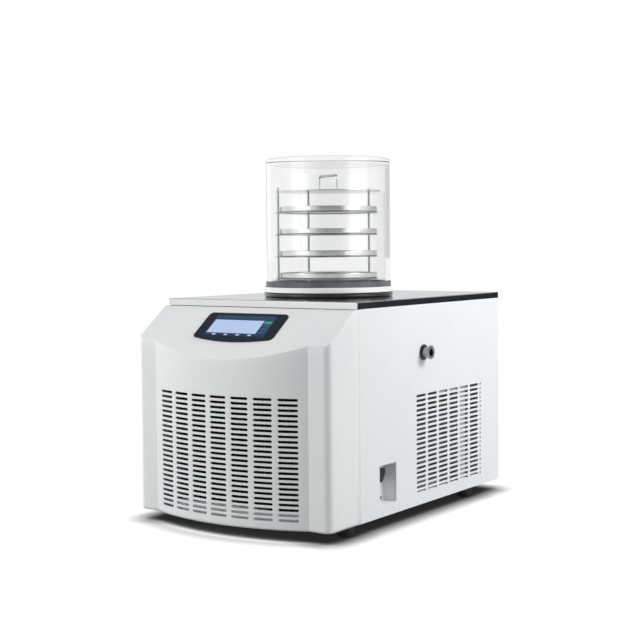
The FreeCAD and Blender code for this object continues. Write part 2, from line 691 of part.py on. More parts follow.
def rear_panel():
    """The rear sheet between the side panels, folded forward along both sides, with its two cut-outs."""
    body = new_body("rear_panel")
    front = "plate_depth - panel_lip"
    face = "plate_depth - sheet_wall"
    plan = [("-inner_face", "plate_depth"), ("-inner_face", front), ("sheet_wall - inner_face", front),
            ("sheet_wall - inner_face", face), ("inner_face - sheet_wall", face),
            ("inner_face - sheet_wall", front), ("inner_face", front), ("inner_face", "plate_depth")]
    pad(body, "XY_Plane", lambda sketch: draw_outline(sketch, plan), "0", "cabinet_height")
    through = ("%s - seam_gap" % face, "plate_depth + seam_gap")
    for centre, half, tall in (("inlet_side", "inlet_half", "inlet_tall"), ("switch_side", "switch_half", "switch_tall")):
        sides = ("%s - %s + 3" % (centre, half), "%s + %s - 3" % (centre, half))
        ends = ("inlet_height - %s + 3" % tall, "inlet_height + %s - 3" % tall)
        window = rectangle(sides, ends)
        pocket(body, "XZ_Plane", lambda sketch: draw_outline(sketch, window), *through)


def top_plate():
    """The polished top: a folded tray upside down, with the hole for the cold trap."""
    body = new_body("top_plate")
    solid = block(body, ("-half_width", "half_width"), ("0", "plate_depth"), ("cabinet_height", "plate_top"))

    def outer_edge(start, end):
        return upright(start, end) or min(start.z, end.z) > value("plate_top") - 0.01
    round_edges(body, solid, "plate_edge", outer_edge)
    hollow(body, ("plate_wall - half_width", "half_width - plate_wall"),
           ("plate_wall", "plate_depth - plate_wall"), ("cabinet_height", "plate_top - plate_wall"))
    round_hole(body, "XY_Plane", ("0", "chamber_setback"), "trap_outer + trap_gap", "cabinet_height", "plate_top")


def feet():
    """Four rubber feet, each tapered to the floor."""
    items = []
    for setback in ("foot_front", "foot_rear"):
        for side in (-1, 1):
            foot = doc.addObject("Part::Cone", "foot")
            foot.setExpression("Radius1", bind("foot_radius - foot_taper"))
            foot.setExpression("Radius2", bind("foot_radius"))
            foot.setExpression("Height", bind("foot_height"))
            for letter, rule in zip("xyz", ("%d * foot_side" % side, setback, "-foot_height")):
                foot.setExpression("Placement.Base." + letter, bind(rule))
            items.append(foot)
    group("feet", items)


def posts_and_shelf():
    """Folded posts on the base pan and the sheet shelf that they carry under the cold trap."""
    for end, setback in (("front", "post_front"), ("rear", "post_rear")):
        for name, side in (("left", -1), ("right", 1)):
            body = new_body("%s_post_%s" % (end, name))
            outer = "%d * post_face" % side
            inner = "%d * (post_face - sheet_wall)" % side
            leg = "%d * (post_face - post_leg)" % side
            far = "%s + post_width" % setback
            plan = [(outer, setback), (outer, far), (inner, far), (inner, "%s + sheet_wall" % setback),
                    (leg, "%s + sheet_wall" % setback), (leg, setback)]
            pad(body, "XY_Plane", lambda sketch: draw_outline(sketch, plan), "sheet_wall", "shelf_height")
            if end == "rear":
                sides = (outer, inner)
                block(body, sides, ("arm_front", "arm_rear"), ("arm_low", "arm_low + arm_tall"))
    body = new_body("trap_shelf")
    block(body, ("-post_face", "post_face"), ("shelf_front", "shelf_rear"), ("shelf_height", "shelf_top"))
    holes = (("0", "chamber_setback", "2 * drain_radius"), ("suction_side", "suction_back", "2 * line_radius"),
             ("drier_side", "drier_back", "2 * line_radius"))
    for across, back, radius in holes:
        round_hole(body, "XY_Plane", (across, back), radius, "shelf_height", "shelf_top")


# ---------------------------------------------------------------- cold trap
TRAP_AXIS = ("0", "chamber_setback", "0")


def cold_trap():
    """The stainless can, its evaporator turns and the foam round them, all about the chamber's axis."""
    inside_floor = "trap_floor + trap_wall"
    profile = [("spout_radius", "trap_floor - spout_drop"), ("spout_outer", "trap_floor - spout_drop"),
               ("spout_outer", "trap_floor"), ("trap_outer", "trap_floor"), ("trap_outer", "plate_top"),
               ("trap_rim", "plate_top"), ("trap_rim", "rim_top"), ("trap_radius", "rim_top"),
               ("trap_radius", inside_floor), ("spout_radius", inside_floor)]
    can = turned("trap_can", "z", profile, TRAP_AXIS)
    round_hole(can, "YZ_Plane", ("0", "port_height"), "pipe_radius + rod_slip", "0", "trap_outer")

    coil = new_body("evaporator_coil", TRAP_AXIS, "coil_turn")
    top = "coil_high + coil_tall + %d * coil_pitch" % (UPPER_TURNS - 1)
    block(coil, ("-coil_outer", "-trap_outer - trap_gap"), ("-header_half", "header_half"), ("coil_low", top))
    for low, turns in (("coil_low", LOWER_TURNS), ("coil_high", UPPER_TURNS)):
        turn = coil.newObject("PartDesign::Revolution", "coil_turn")
        section = ring("coil_inner", "coil_outer", low, "%s + coil_tall" % low)
        sketch = draw_outline(new_sketch(coil, "XZ_Plane"), section)
        turn.Profile = sketch
        turn.ReferenceAxis = (sketch, ["V_Axis"])
        turn.Angle = 360
        repeat(coil, turn, (("Z_Axis", "coil_pitch", turns),))

    inside = "coil_outer + trap_gap"
    throat = "drain_radius + fit_gap"
    profile = [(throat, "shelf_top"), ("foam_radius", "shelf_top"), ("foam_radius", "plate_top - plate_wall"),
               (inside, "plate_top - plate_wall"), (inside, "trap_floor"), (throat, "trap_floor")]
    foam = turned("trap_insulation", "z", profile, TRAP_AXIS)
    round_hole(foam, "YZ_Plane", ("0", "port_height"), "pipe_radius + fit_gap", "0", "foam_radius")
    round_hole(foam, "XY_Plane", ("suction_side", "suction_back - chamber_setback"), "line_radius + fit_gap",
               "shelf_top", "coil_low")


def chamber():
    """The stack on the top plate: seal ring, flange ring, gasket, clear cylinder and clear lid."""
    clear = "trap_rim + fit_gap"
    round_foot = "seal_outer - seal_bulge"
    profile = [("seal_inner", "rim_top"), (clear, "rim_top"), (clear, "plate_top"), (round_foot, "plate_top"),
               (round_foot, "seal_top"), ("seal_inner", "seal_top")]
    turned("seal_ring", "z", profile, TRAP_AXIS, {3: "seal_round"})
    bevelled = "ring_outer - ring_edge"
    profile = [("ring_inner", "seal_top"), (bevelled, "seal_top"), ("ring_outer", "seal_top + ring_edge"),
               ("ring_outer", "ring_top - ring_edge"), (bevelled, "ring_top"), ("ring_inner", "ring_top")]
    turned("flange_ring", "z", profile, TRAP_AXIS)
    lip = "ring_top + gasket_tall"
    inner = "chamber_bore - rod_slip"
    outer = "chamber_radius + rod_slip"
    profile = [("gasket_inner", "ring_top"), ("gasket_outer", "ring_top"), ("gasket_outer", lip), (outer, lip),
               (outer, "chamber_foot"), (inner, "chamber_foot"), (inner, lip), ("gasket_inner", lip)]
    turned("chamber_gasket", "z", profile, TRAP_AXIS)
    wall = ring("chamber_bore", "chamber_radius", "chamber_foot", "chamber_lip")
    turned("chamber_cylinder", "z", wall, TRAP_AXIS)
    turned("chamber_lid", "z", ring("0", "chamber_radius", "chamber_lip", "plate_top + chamber_tall"), TRAP_AXIS)


def rod_place(angle):
    return "rack_circle * cos(%d)" % angle, "rack_circle * sin(%d)" % angle


def rack_plate(label, inner, outer, low, high, lug=None):
    """A turned plate of the rack with a hole for each rod, and a round lug there if its rim is too narrow."""
    body = turned(label, "z", ring(inner, outer, low, high), TRAP_AXIS)
    if lug is not None:
        for angle in ROD_ANGLES:
            pad(body, "XY_Plane", lambda sketch: draw_circle(sketch, *rod_place(angle), lug), low, high)
    for angle in ROD_ANGLES:
        round_hole(body, "XY_Plane", rod_place(angle), "rod_radius", low, high)


def rack():
    """Base ring, three rods, a shelf ring and a tray at each level, and the top plate with its handle."""
    low = "ring_top"
    rack_plate("rack_base", "rack_inner", "rack_foot", low, "ring_top + rack_plate")
    rods = []
    for angle in ROD_ANGLES:
        x, y = rod_place(angle)
        rods.append(cylinder("rod_radius", "plate_top + rod_top - ring_top", (x, y, low)))
    group("rack_rods", rods, TRAP_AXIS)
    for level in range(TRAYS):
        floor = "plate_top + tray_first + %d * tray_pitch" % level
        rack_plate("rack_shelf_%d" % (level + 1), "rack_inner", "tray_radius + shelf_rim",
                   "%s - shelf_ring" % floor, floor, "lug_radius")
        top = "%s + tray_tall" % floor
        inner = "tray_radius - tray_wall"
        pan = [("0", floor), (inner, floor), ("tray_radius", "%s + tray_wall" % floor), ("tray_radius", top),
               (inner, top), (inner, "%s + tray_wall" % floor), ("0", "%s + tray_wall" % floor)]
        turned("tray_%d" % (level + 1), "z", pan, TRAP_AXIS)
    low = "plate_top + rack_top"
    rack_plate("rack_top_plate", "0", "rack_outer", low, "%s + rack_plate" % low)
    foot = "%s + rack_plate" % low
    wire = "%s + grip_tall" % foot
    near = ("-grip_long / 2 * cos(grip_turn)", "chamber_setback - grip_long / 2 * sin(grip_turn)")
    far = ("grip_long / 2 * cos(grip_turn)", "chamber_setback + grip_long / 2 * sin(grip_turn)")
    tube("rack_handle", [near + (foot,), near + (wire,), far + (wire,), far + (foot,)], "grip_wire", "grip_bend")


# ---------------------------------------------------------------- vacuum and drain
def vacuum_line():
    """The port on the right side, its black ring and the pipe from the cold trap."""
    centre = ("0", "chamber_setback", "port_height")
    washer = [("half_width", "port_radius + rod_slip"), ("half_width + washer_thick", "port_radius + rod_slip"),
              ("half_width + washer_thick", "washer_radius"), ("half_width", "washer_radius")]
    turned("port_ring", "x", washer, centre)
    lip = "port_end - port_lip_thick"
    shoulder = "inner_face - 2"
    profile = [("port_root", "pipe_radius + rod_slip"), (shoulder, "pipe_radius + rod_slip"),
               (shoulder, "port_bore"), ("port_end", "port_bore"), ("port_end", "port_lip"), (lip, "port_lip"),
               (lip, "port_radius"), ("inner_face", "port_radius"), ("inner_face", "port_lip"),
               ("port_root", "port_lip")]
    turned("vacuum_port", "x", profile, centre)
    inner = "pipe_radius - pipe_wall"
    pipe = [("trap_radius", inner), (shoulder, inner), (shoulder, "pipe_radius"), ("trap_radius", "pipe_radius")]
    turned("vacuum_pipe", "x", pipe, centre)


def drain():
    """The recess in the right side, the valve behind it, its knob, and the two hoses."""
    body = new_body("drain_pocket")
    edge = "sheet_wall"
    block(body, ("valve_front", "inner_face"), ("pocket_front - " + edge, "pocket_rear + " + edge),
          ("pocket_low - " + edge, "pocket_high + " + edge))
    hollow(body, ("pocket_back", "inner_face"), ("pocket_front", "pocket_rear"), ("pocket_low", "pocket_high"))
    spindle = ("knob_setback", "knob_height")
    bore = "spindle_radius + running_gap"
    round_hole(body, "YZ_Plane", spindle, bore, "valve_front", "pocket_back")
    round_hole(body, "YZ_Plane", ("outlet_setback", "outlet_height"), "hose_radius + rod_slip",
               "valve_front", "pocket_back")

    valve = new_body("drain_valve", ("0", "knob_setback", "knob_height"))
    half = ("-valve_half", "valve_half")
    block(valve, ("valve_front - valve_deep", "valve_front"), half, half)
    tip = "valve_half + valve_stub"
    for back, radius, low, high in (("0", "spout_outer", "valve_half", tip),
                                    ("outlet_setback - knob_setback", "hose_bore", "-(%s)" % tip, "-valve_half")):
        pad(valve, "XY_Plane", lambda sketch: draw_circle(sketch, "valve_axis", back, radius), low, high)
    round_hole(valve, "YZ_Plane", ("0", "0"), bore, "valve_axis", "valve_front")

    knob = new_body("drain_knob", ("0", "knob_setback", "knob_height"))
    shield = [("-knob_tip", "-knob_drop"), ("knob_tip", "-knob_drop"), ("knob_half", "0"),
              ("knob_half", "knob_crown"), ("-knob_half", "knob_crown"), ("-knob_half", "0")]
    wing = pad(knob, "YZ_Plane", lambda sketch: draw_outline(sketch, shield), "knob_back", "knob_back + knob_thick")

    def along_spindle(start, end):
        return abs(start.x - end.x) > 1
    round_edges(knob, wing, "spindle_radius", along_spindle)
    pad(knob, "YZ_Plane", lambda sketch: draw_circle(sketch, "0", "0", "spindle_radius"), "valve_axis + fit_gap",
        "knob_back")

    top = "knob_height + valve_half + fit_gap"
    route = [("0", "chamber_setback", "trap_floor - fit_gap"), ("0", "chamber_setback", "drain_run"),
             ("valve_axis", "knob_setback", "drain_run"), ("valve_axis", "knob_setback", top)]
    tube("drain_hose", route, "drain_radius", "hose_bend", "spout_outer")
    foot = "knob_height - valve_half - fit_gap"
    route = [("valve_axis", "outlet_setback", foot), ("valve_axis", "outlet_setback", "outlet_height"),
             ("pocket_back", "outlet_setback", "outlet_height")]
    tube("outlet_hose", route, "hose_radius", "2 * hose_radius", "hose_bore")


# ---------------------------------------------------------------- refrigeration
def condenser_and_fan():
    """Finned condenser behind the front vent, its shroud, and the fan on its motor and bracket."""
    core = new_body("condenser")
    block(core, ("-core_half", "core_half"), ("core_front", "core_rear"), ("sheet_wall", "core_high"))
    fins = "fin_pitch * %d" % FIN_GAPS
    start = "(fin_pitch - fin_gap - %s) / 2" % fins
    groove = hollow(core, (start, "%s + fin_gap" % start), ("core_front", "core_front + fin_deep"),
                    ("sheet_wall", "core_high"))
    repeat(core, groove, (("X_Axis", "fin_pitch", FIN_GAPS),))

    shroud = new_body("fan_shroud")
    block(shroud, ("-shroud_half", "shroud_half"), ("core_rear", "shroud_rear"), ("sheet_wall", "shroud_high"))
    hollow(shroud, ("sheet_wall - shroud_half", "shroud_half - sheet_wall"),
           ("core_rear", "shroud_rear - sheet_wall"), ("2 * sheet_wall", "shroud_high - sheet_wall"))
    round_hole(shroud, "XZ_Plane", ("0", "fan_height"), "fan_opening", "core_rear", "shroud_rear")

    centre = ("0", "0", "fan_height")
    hub = ring("shaft_radius", "hub_radius", "hub_front", "hub_front + hub_long")
    fan = turned("fan_blades", "y", hub, centre)
    blade = fan.newObject("PartDesign::Pad", "fan_blade")
    blade.Profile = blade_sketch(fan, "hub_front + hub_long / 2")
    blade.setExpression("Length", bind("blade_wall"))
    blade.Midplane = True
    blades = fan.newObject("PartDesign::PolarPattern", "fan_blade_ring")
    blades.Originals = [blade]
    blades.Axis = (origin_item(fan, "Y_Axis"), [""])
    blades.Angle = 360
    blades.Occurrences = FAN_BLADES
    fan.Tip = blades

    turned("fan_shaft", "y", ring("0", "shaft_radius", "shaft_front", "shaft_rear"), centre)
    bore = "shaft_radius + running_gap"
    blind = "shaft_rear + fit_gap"
    front = "motor_front - boss_long"
    motor = [(bore, front), ("boss_radius", front), ("boss_radius", "motor_front"), ("motor_radius", "motor_front"),
             ("motor_radius", "motor_front + motor_long"), ("0", "motor_front + motor_long"), ("0", blind),
             (bore, blind)]
    turned("fan_motor", "y", motor, centre)

    bracket = new_body("fan_bracket")
    face = "motor_front + motor_long"
    back = "%s + bracket_wall" % face
    floor = "sheet_wall + bracket_wall"
    top = "fan_height + motor_radius"
    fold = [(face, "sheet_wall"), ("%s + bracket_foot" % face, "sheet_wall"), ("%s + bracket_foot" % face, floor),
            (back, floor), (back, top), (face, top)]
    pad(bracket, "YZ_Plane", lambda sketch: draw_outline(sketch, fold), "-bracket_half", "bracket_half")


def blade_sketch(body, middle):
    """A blade's outline in its own plane, which is pitched about the radius that runs up through its middle."""
    sketch = new_sketch(body, "XZ_Plane", "-(%s)" % middle)
    sketch.AttachmentOffset = Placement(sketch.AttachmentOffset.Base, Rotation(Vector(0, 1, 0), 1))
    sketch.setExpression("AttachmentOffset.Rotation.Angle", bind("blade_pitch"))
    root = "hub_radius - blade_wall"
    return draw_outline(sketch, [("-root_half", root), ("root_half", root), ("tip_half", "blade_tip"),
                                 ("-tip_half", "blade_tip")])


def compressor():
    """The compressor on its plate and grommets, the filter drier, and the lines between them."""
    flat = "shell_radius - shell_round"
    shell = [("0", "shell_low")]
    for end, inward in (("shell_low", 1), ("shell_high", -1)):
        shoulder = [(flat, end), ("shell_radius - shell_round / 4", "%s + %d * shell_round / 3" % (end, inward)),
                    ("shell_radius", "%s + %d * shell_round" % (end, inward))]
        shell += shoulder if inward > 0 else shoulder[::-1]
    shell.append(("0", "shell_high"))
    turned("compressor", "z", shell, ("shell_side", "shell_back", "0"))

    plate = new_body("compressor_plate", ("shell_side", "shell_back", "0"))
    block(plate, ("-plate_side", "plate_side"), ("-plate_end", "plate_end"), ("plate_low", "shell_low"))
    grommets = []
    for side in (-1, 1):
        for end in (-1, 1):
            at = ("%d * (plate_side - grommet_inset)" % side, "%d * (plate_end - grommet_inset)" % end, "sheet_wall")
            grommets.append(cylinder("grommet_radius", "plate_low - sheet_wall", at))
    group("compressor_grommets", grommets, ("shell_side", "shell_back", "0"))

    neck = "2 * line_radius"
    drier = [("0", "drier_low"), ("line_radius", "drier_low"), ("drier_radius", "drier_low + %s" % neck),
             ("drier_radius", "drier_high - %s" % neck), ("line_radius", "drier_high"), ("0", "drier_high")]
    turned("filter_drier", "z", drier, ("drier_side", "drier_back", "0"))
    group("suction_line", [cylinder("line_radius", "coil_low - shell_high", ("suction_side", "suction_back",
                                                                            "shell_high"))])
    group("capillary_line", [cylinder("capillary_radius", "shelf_top - drier_high",
                                      ("drier_side", "drier_back", "drier_high"))])
    route = [("discharge_side", "shell_back", "shell_high"), ("discharge_side", "shell_back", "line_high"),
             ("discharge_side", "core_rear", "line_high")]
    tube("discharge_line", route, "line_radius", "line_bend")
    route = [("drier_side", "core_rear", "line_low"), ("drier_side", "drier_back", "line_low"),
             ("drier_side", "drier_back", "drier_low")]
    tube("liquid_line", route, "line_radius", "line_bend")


# ---------------------------------------------------------------- electronics
def screen():
    """The touch glass on the facet, with a bowed lower edge, and the display module behind it."""
    glass = new_body("screen_glass")
    outline = [("-glass_half", "glass_low"), ("glass_half", "glass_low"), ("glass_half", "glass_high"),
               ("-glass_half", "glass_high")]
    sheet_pad = glass.newObject("PartDesign::Pad", "glass_pad")
    sheet_pad.Profile = draw_outline(facet_sketch(glass, "0"), outline, {0: "glass_bulge"})
    sheet_pad.setExpression("Length", bind("glass_thick"))

    def through_glass(start, end):
        return abs(start.x - end.x) < 0.01 and abs((end - start).Length - value("glass_thick")) < 0.01
    round_edges(glass, sheet_pad, "glass_corner", through_glass)

    module = new_body("display_module")
    wide = "display_half + display_edge"
    low = "display_low - display_edge"
    high = "display_high + display_edge"
    case = module.newObject("PartDesign::Pad", "display_case")
    case.Profile = draw_outline(facet_sketch(module, "-panel_wall - display_deep"),
                                rectangle(("-(%s)" % wide, wide), (low, high)))
    case.setExpression("Length", bind("display_deep"))
    face = module.newObject("PartDesign::Pad", "display_face")
    across = "display_half - fit_gap"
    face.Profile = draw_outline(facet_sketch(module, "-panel_wall"),
                                rectangle(("-(%s)" % across, across), ("display_low + fit_gap", "display_high - fit_gap")))
    face.setExpression("Length", bind("panel_wall"))


def control_box():
    body = new_body("control_box")
    block(body, ("box_left", "box_right"), ("box_front", "box_front + box_deep"), ("shelf_top", "shelf_top + box_tall"))


def rear_fitting(label, centre, half, tall, deep):
    """A flanged fitting: a face on the rear panel and a body through its cut-out."""
    body = new_body(label, (centre, "0", "inlet_height"))
    inner = "%s - face_rim - fit_gap" % half
    inner_tall = "%s - face_rim - fit_gap" % tall
    block(body, ("-(%s)" % half, half), ("plate_depth", "fitting_end"), ("-(%s)" % tall, tall))
    block(body, ("-(%s)" % inner, inner), ("plate_depth - %s" % deep, "plate_depth"), ("-(%s)" % inner_tall, inner_tall))
    return body


def power():
    """The mains inlet with its three contacts, and the rocker switch beside it."""
    inlet = rear_fitting("power_inlet", "inlet_side", "inlet_half", "inlet_tall", "inlet_deep")
    floor = "fitting_end - socket_deep"
    hollow(inlet, ("-socket_half", "socket_half"), (floor, "fitting_end"), ("-socket_tall", "socket_tall"))
    for step, height in ((-1, 2), (0, -2), (1, 2)):
        middle = "%d * contact_pitch" % step
        block(inlet, ("%s - blade_half" % middle, "%s + blade_half" % middle), (floor, "plate_depth - 3"),
              ("%d * blade_half - 2 * blade_half" % height, "%d * blade_half + 2 * blade_half" % height))

    frame = rear_fitting("power_switch_frame", "switch_side", "switch_half", "switch_tall", "inlet_deep")
    floor = "plate_depth - inlet_deep + switch_wall"
    hollow(frame, ("-(switch_inner)", "switch_inner"), (floor, "fitting_end"), ("-(switch_inner_tall)", "switch_inner_tall"))
    pivot = ("plate_depth - rocker_setback", "0")
    wide = "switch_inner + switch_wall / 2"
    round_hole(frame, "YZ_Plane", pivot, "pivot_radius + running_gap", "-(%s)" % wide, wide)

    rocker = new_body("power_switch_rocker", ("switch_side", "plate_depth - rocker_setback", "inlet_height"))
    side = "switch_inner - fit_gap"
    shape = [("-5", "-4"), ("1", "-rocker_tall"), ("3", "-rocker_tall"), ("1.8", "0"), ("3", "rocker_tall"),
             ("1", "rocker_tall"), ("-5", "4")]

    def tilted(sketch):
        sketch.AttachmentOffset = Placement(sketch.AttachmentOffset.Base, Rotation(Vector(0, 0, 1), 1))
        sketch.setExpression("AttachmentOffset.Rotation.Angle", bind("-rocker_tilt"))
        return draw_outline(sketch, shape)
    pad(rocker, "YZ_Plane", tilted, "-(%s)" % side, side)
    pin = "%s - fit_gap" % wide
    pad(rocker, "YZ_Plane", lambda sketch: draw_circle(sketch, "0", "0", "pivot_radius"), "-(%s)" % pin, pin)


def export():
    """Check every object, then write one STEP file for each sub-part."""
    doc.recompute()
    for item in doc.Objects:
        if "Invalid" in item.State or "Error" in item.State:
            raise RuntimeError("%s in %s is %s" % (item.Name, item.Label, item.State))
    os.makedirs("parts", exist_ok=True)
    for item in SUB_PARTS:
        if item.Shape.isNull() or not item.Shape.isValid():
            raise RuntimeError("%s has no valid shape" % item.Label)
        item.Shape.exportStep(os.path.join("parts", item.Label + ".step"))


base_pan()
front_panel()
side_panel("right_side_panel", 1, right_holes)
side_panel("left_side_panel", -1, no_holes)
rear_panel()
top_plate()
feet()
posts_and_shelf()
cold_trap()
chamber()
rack()
vacuum_line()
drain()
condenser_and_fan()
compressor()
screen()
control_box()
power()
export()
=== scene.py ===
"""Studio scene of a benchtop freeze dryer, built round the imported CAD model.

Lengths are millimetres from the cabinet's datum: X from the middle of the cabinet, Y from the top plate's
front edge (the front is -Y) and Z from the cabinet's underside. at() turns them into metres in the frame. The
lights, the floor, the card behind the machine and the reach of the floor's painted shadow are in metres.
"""
import math

import bmesh
import bpy
from mathutils import Matrix, Vector


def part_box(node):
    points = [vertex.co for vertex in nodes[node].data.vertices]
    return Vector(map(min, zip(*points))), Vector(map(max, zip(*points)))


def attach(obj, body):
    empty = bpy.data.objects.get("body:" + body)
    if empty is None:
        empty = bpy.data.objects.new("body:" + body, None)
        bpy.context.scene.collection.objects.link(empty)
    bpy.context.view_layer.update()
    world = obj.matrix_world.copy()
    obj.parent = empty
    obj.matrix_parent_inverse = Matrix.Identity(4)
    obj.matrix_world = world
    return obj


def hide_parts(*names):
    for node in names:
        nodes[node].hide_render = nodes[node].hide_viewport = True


MM = 0.001

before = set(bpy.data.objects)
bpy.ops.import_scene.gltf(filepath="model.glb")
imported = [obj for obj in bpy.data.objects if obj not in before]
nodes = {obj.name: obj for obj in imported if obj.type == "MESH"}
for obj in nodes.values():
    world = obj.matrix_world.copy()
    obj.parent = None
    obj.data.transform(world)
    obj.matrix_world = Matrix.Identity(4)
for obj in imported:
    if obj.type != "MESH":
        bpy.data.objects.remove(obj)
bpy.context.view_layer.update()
plate_low, plate_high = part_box("top_plate")
pan_low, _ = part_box("base_pan")
DATUM = Vector(((plate_low.x + plate_high.x) / 2, plate_low.y, pan_low.z))


def at(x, y, z):
    """A point given in cabinet millimetres, in the frame's metres."""
    return DATUM + Vector((x, y, z)) * MM


def extent(node):
    """A node's lowest and highest corners in cabinet millimetres."""
    low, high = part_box(node)
    return (low - DATUM) / MM, (high - DATUM) / MM


def measured(number):
    """A length read from the frame, without its rounding noise."""
    return round(number, 2)


def inner_span(node, axis, rim):
    """The opening inside a node's outline: its ends along axis 0 or 1, then its low and high edges."""
    low, high = extent(node)
    return tuple(measured(edge) for edge in (low[axis] + rim, high[axis] - rim, low.z + rim, high.z - rim))


# The cabinet. The lip is folded inwards from the side sheets' front edge.
side_low, side_high = extent("right_side_panel")
HALF_WIDTH = measured(side_high.x)
HEIGHT = measured(side_high.z)
DEPTH = measured(side_high.y)
SIDE_FRONT = measured(side_low.y)
LIP = measured(side_high.x - side_low.x)
LIP_FOOT = 26
SHEET_WALL = 1.2
seal_low, seal_high = extent("seal_ring")
AXIS_Y = measured((seal_low.y + seal_high.y) / 2)

# The front panel: its bow between two flat strips, its round corners, its sloped facet, and the ledge, which
# lies a little under the top plate's skirt and leaves a shadow line there.
front_low, front_high = extent("front_panel")
BOW_RISE = 38.5
STRIP = 45
FACET_RISE = 62
LEDGE_DROP = 1
FACET_SLOPE = math.radians(36.2)
CORNER = 13
PANEL_WALL = 2.5
FRONT_REACH = measured(-front_low.y - BOW_RISE)
FRONT_RETURN = measured(front_high.y)
BOW_HALF = HALF_WIDTH - STRIP
CREASE = HEIGHT - FACET_RISE
LEDGE = HEIGHT - LEDGE_DROP
STRAIGHT = HALF_WIDTH - CORNER
ARC = CORNER * math.pi / 2

# The fields of slots.
SLOT_TALL = 5
ROW_PITCH = 9.53
FRONT_SLOT = 36.5
FRONT_PITCH = 47.2
FRONT_SHIFT = 3
FRONT_COLUMNS = 7
FRONT_ROWS = 24
FRONT_LOW = 18
SIDE_SLOT = 36.5
SIDE_PITCH = 44.5
SIDE_START = 214.5
SIDE_COLUMNS = 6
SIDE_ROWS = 21
SIDE_LOW = 26

# The vacuum port, and the openings of the drain recess, the mains inlet and the switch.
port_low, port_high = extent("port_ring")
PORT_HEIGHT = measured((port_low.z + port_high.z) / 2)
PORT_HOLE = 10.8
FACE_RIM = 3
RECESS = inner_span("drain_pocket", 1, SHEET_WALL)
INLET_HOLE = inner_span("power_inlet", 0, FACE_RIM)
SWITCH_HOLE = inner_span("power_switch_frame", 0, FACE_RIM)

# Grid lines and points nearer than NEAR are one. Drawn faces stay HAIR off a face that they would share.
# Edges that turn by more than SHARP are sharp.
NEAR = 0.02
HAIR = 0.02
SHARP = math.radians(30)

# The camera, and what the soft boxes are aimed at.
CAMERA_SPOT = (1518.1, -2014.0, 517.2)
CAMERA_YAW = 34.322
CAMERA_PITCH = 3.315
CAMERA_ROLL = -0.442
LENS = 73.96
AIM = (0, AXIS_Y, 200)

# Brightness of the tent round the machine, before TENT_SCALE, by degrees from the front to the machine's
# right. The wall is open, so dark, at the front right.
TENT_WALL = ((-180, 0.14), (-135, 0.15), (-120, 0.25), (-60, 0.25), (-40, 0.3), (-37, 0.46), (-12, 0.46),
             (-9, 0.26), (2, 0.2), (20, 0.06), (62, 0.06), (72, 0.2), (76, 0.46), (110, 0.46), (114, 0.26),
             (150, 0.14), (180, 0.14))
TENT_ROOF = ((-180, 0.035), (-60, 0.05), (-30, 0.09), (-5, 0.02), (75, 0.02), (100, 0.05), (180, 0.035))
TENT_SCALE = 5
BACKDROP = 1.02

# Where the roof takes over from the wall, and where a ceiling that only reflections see begins and is full.
# They are heights on a sphere of radius 1.
ROOF = (0.33, 0.43)
CEILING = (0.62, 0.85)
CEILING_LIGHT = 0.12

# The floor's painted contact shadow: how near the machine has to be, in metres, and how fast it darkens.
CONTACT_REACH = 0.048
CONTACT_POWER = 3.2
COVER_REACH = 0.4
COVER = (0.12, 0.42)
DARKEST = 0.02


# ------------------------------------------------------------------ camera and studio
def aim_camera():
    """The camera stands front right of the machine, a little above its middle."""
    yaw, pitch, roll = (math.radians(turn) for turn in (CAMERA_YAW, CAMERA_PITCH, CAMERA_ROLL))
    back = Vector((math.sin(yaw) * math.cos(pitch), -math.cos(yaw) * math.cos(pitch), math.sin(pitch)))
    right = (-back).cross(Vector((0, 0, 1))).normalized()
    up = right.cross(-back).normalized()
    across = right * math.cos(roll) + up * math.sin(roll)
    upward = up * math.cos(roll) - right * math.sin(roll)
    data = bpy.data.cameras.new("camera")
    data.sensor_width = 36
    data.lens = LENS
    data.clip_end = 100
    camera = bpy.data.objects.new("camera", data)
    turned = Matrix((across, upward, back)).transposed().to_4x4()
    camera.matrix_world = Matrix.Translation(at(*CAMERA_SPOT)) @ turned
    bpy.context.scene.collection.objects.link(camera)
    bpy.context.scene.camera = camera


def soft_box(name, azimuth, distance, height, size, radiance):
    """An area light aimed at the middle of the machine. Azimuth 0 is in front, 90 on the machine's right.

    Distance is across the floor. The radiance is the same whatever the size.
    """
    turn = math.radians(azimuth)
    data = bpy.data.lights.new(name, "AREA")
    data.shape = "RECTANGLE"
    data.size, data.size_y = size
    data.energy = radiance * math.pi * size[0] * size[1]
    lamp = bpy.data.objects.new(name, data)
    middle = at(*AIM)
    lamp.location = middle + Vector((math.sin(turn), -math.cos(turn), 0)) * distance
    lamp.location.z = height
    lamp.rotation_mode = "QUATERNION"
    lamp.rotation_quaternion = (middle - lamp.location).to_track_quat("-Z", "Y")
    lamp.visible_glossy = False
    bpy.context.scene.collection.objects.link(lamp)


def feed(tree, socket, term):
    """Sets a socket to a number, or links another node's output to it."""
    if isinstance(term, (int, float)):
        socket.default_value = term
    else:
        tree.links.new(term, socket)


def arithmetic(tree, operation, *terms):
    """A math node. Terms are numbers or sockets."""
    node = tree.nodes.new("ShaderNodeMath")
    node.operation = operation
    for socket, term in zip(node.inputs, terms):
        feed(tree, socket, term)
    return node.outputs["Value"]


def spread(tree, source, span, low, high, smooth=False):
    """Maps a number from a span to the range from low to high, which are numbers or sockets."""
    node = tree.nodes.new("ShaderNodeMapRange")
    if smooth:
        node.interpolation_type = "SMOOTHSTEP"
    feed(tree, node.inputs["Value"], source)
    feed(tree, node.inputs["From Min"], span[0])
    feed(tree, node.inputs["From Max"], span[1])
    feed(tree, node.inputs["To Min"], low)
    feed(tree, node.inputs["To Max"], high)
    return node.outputs["Result"]


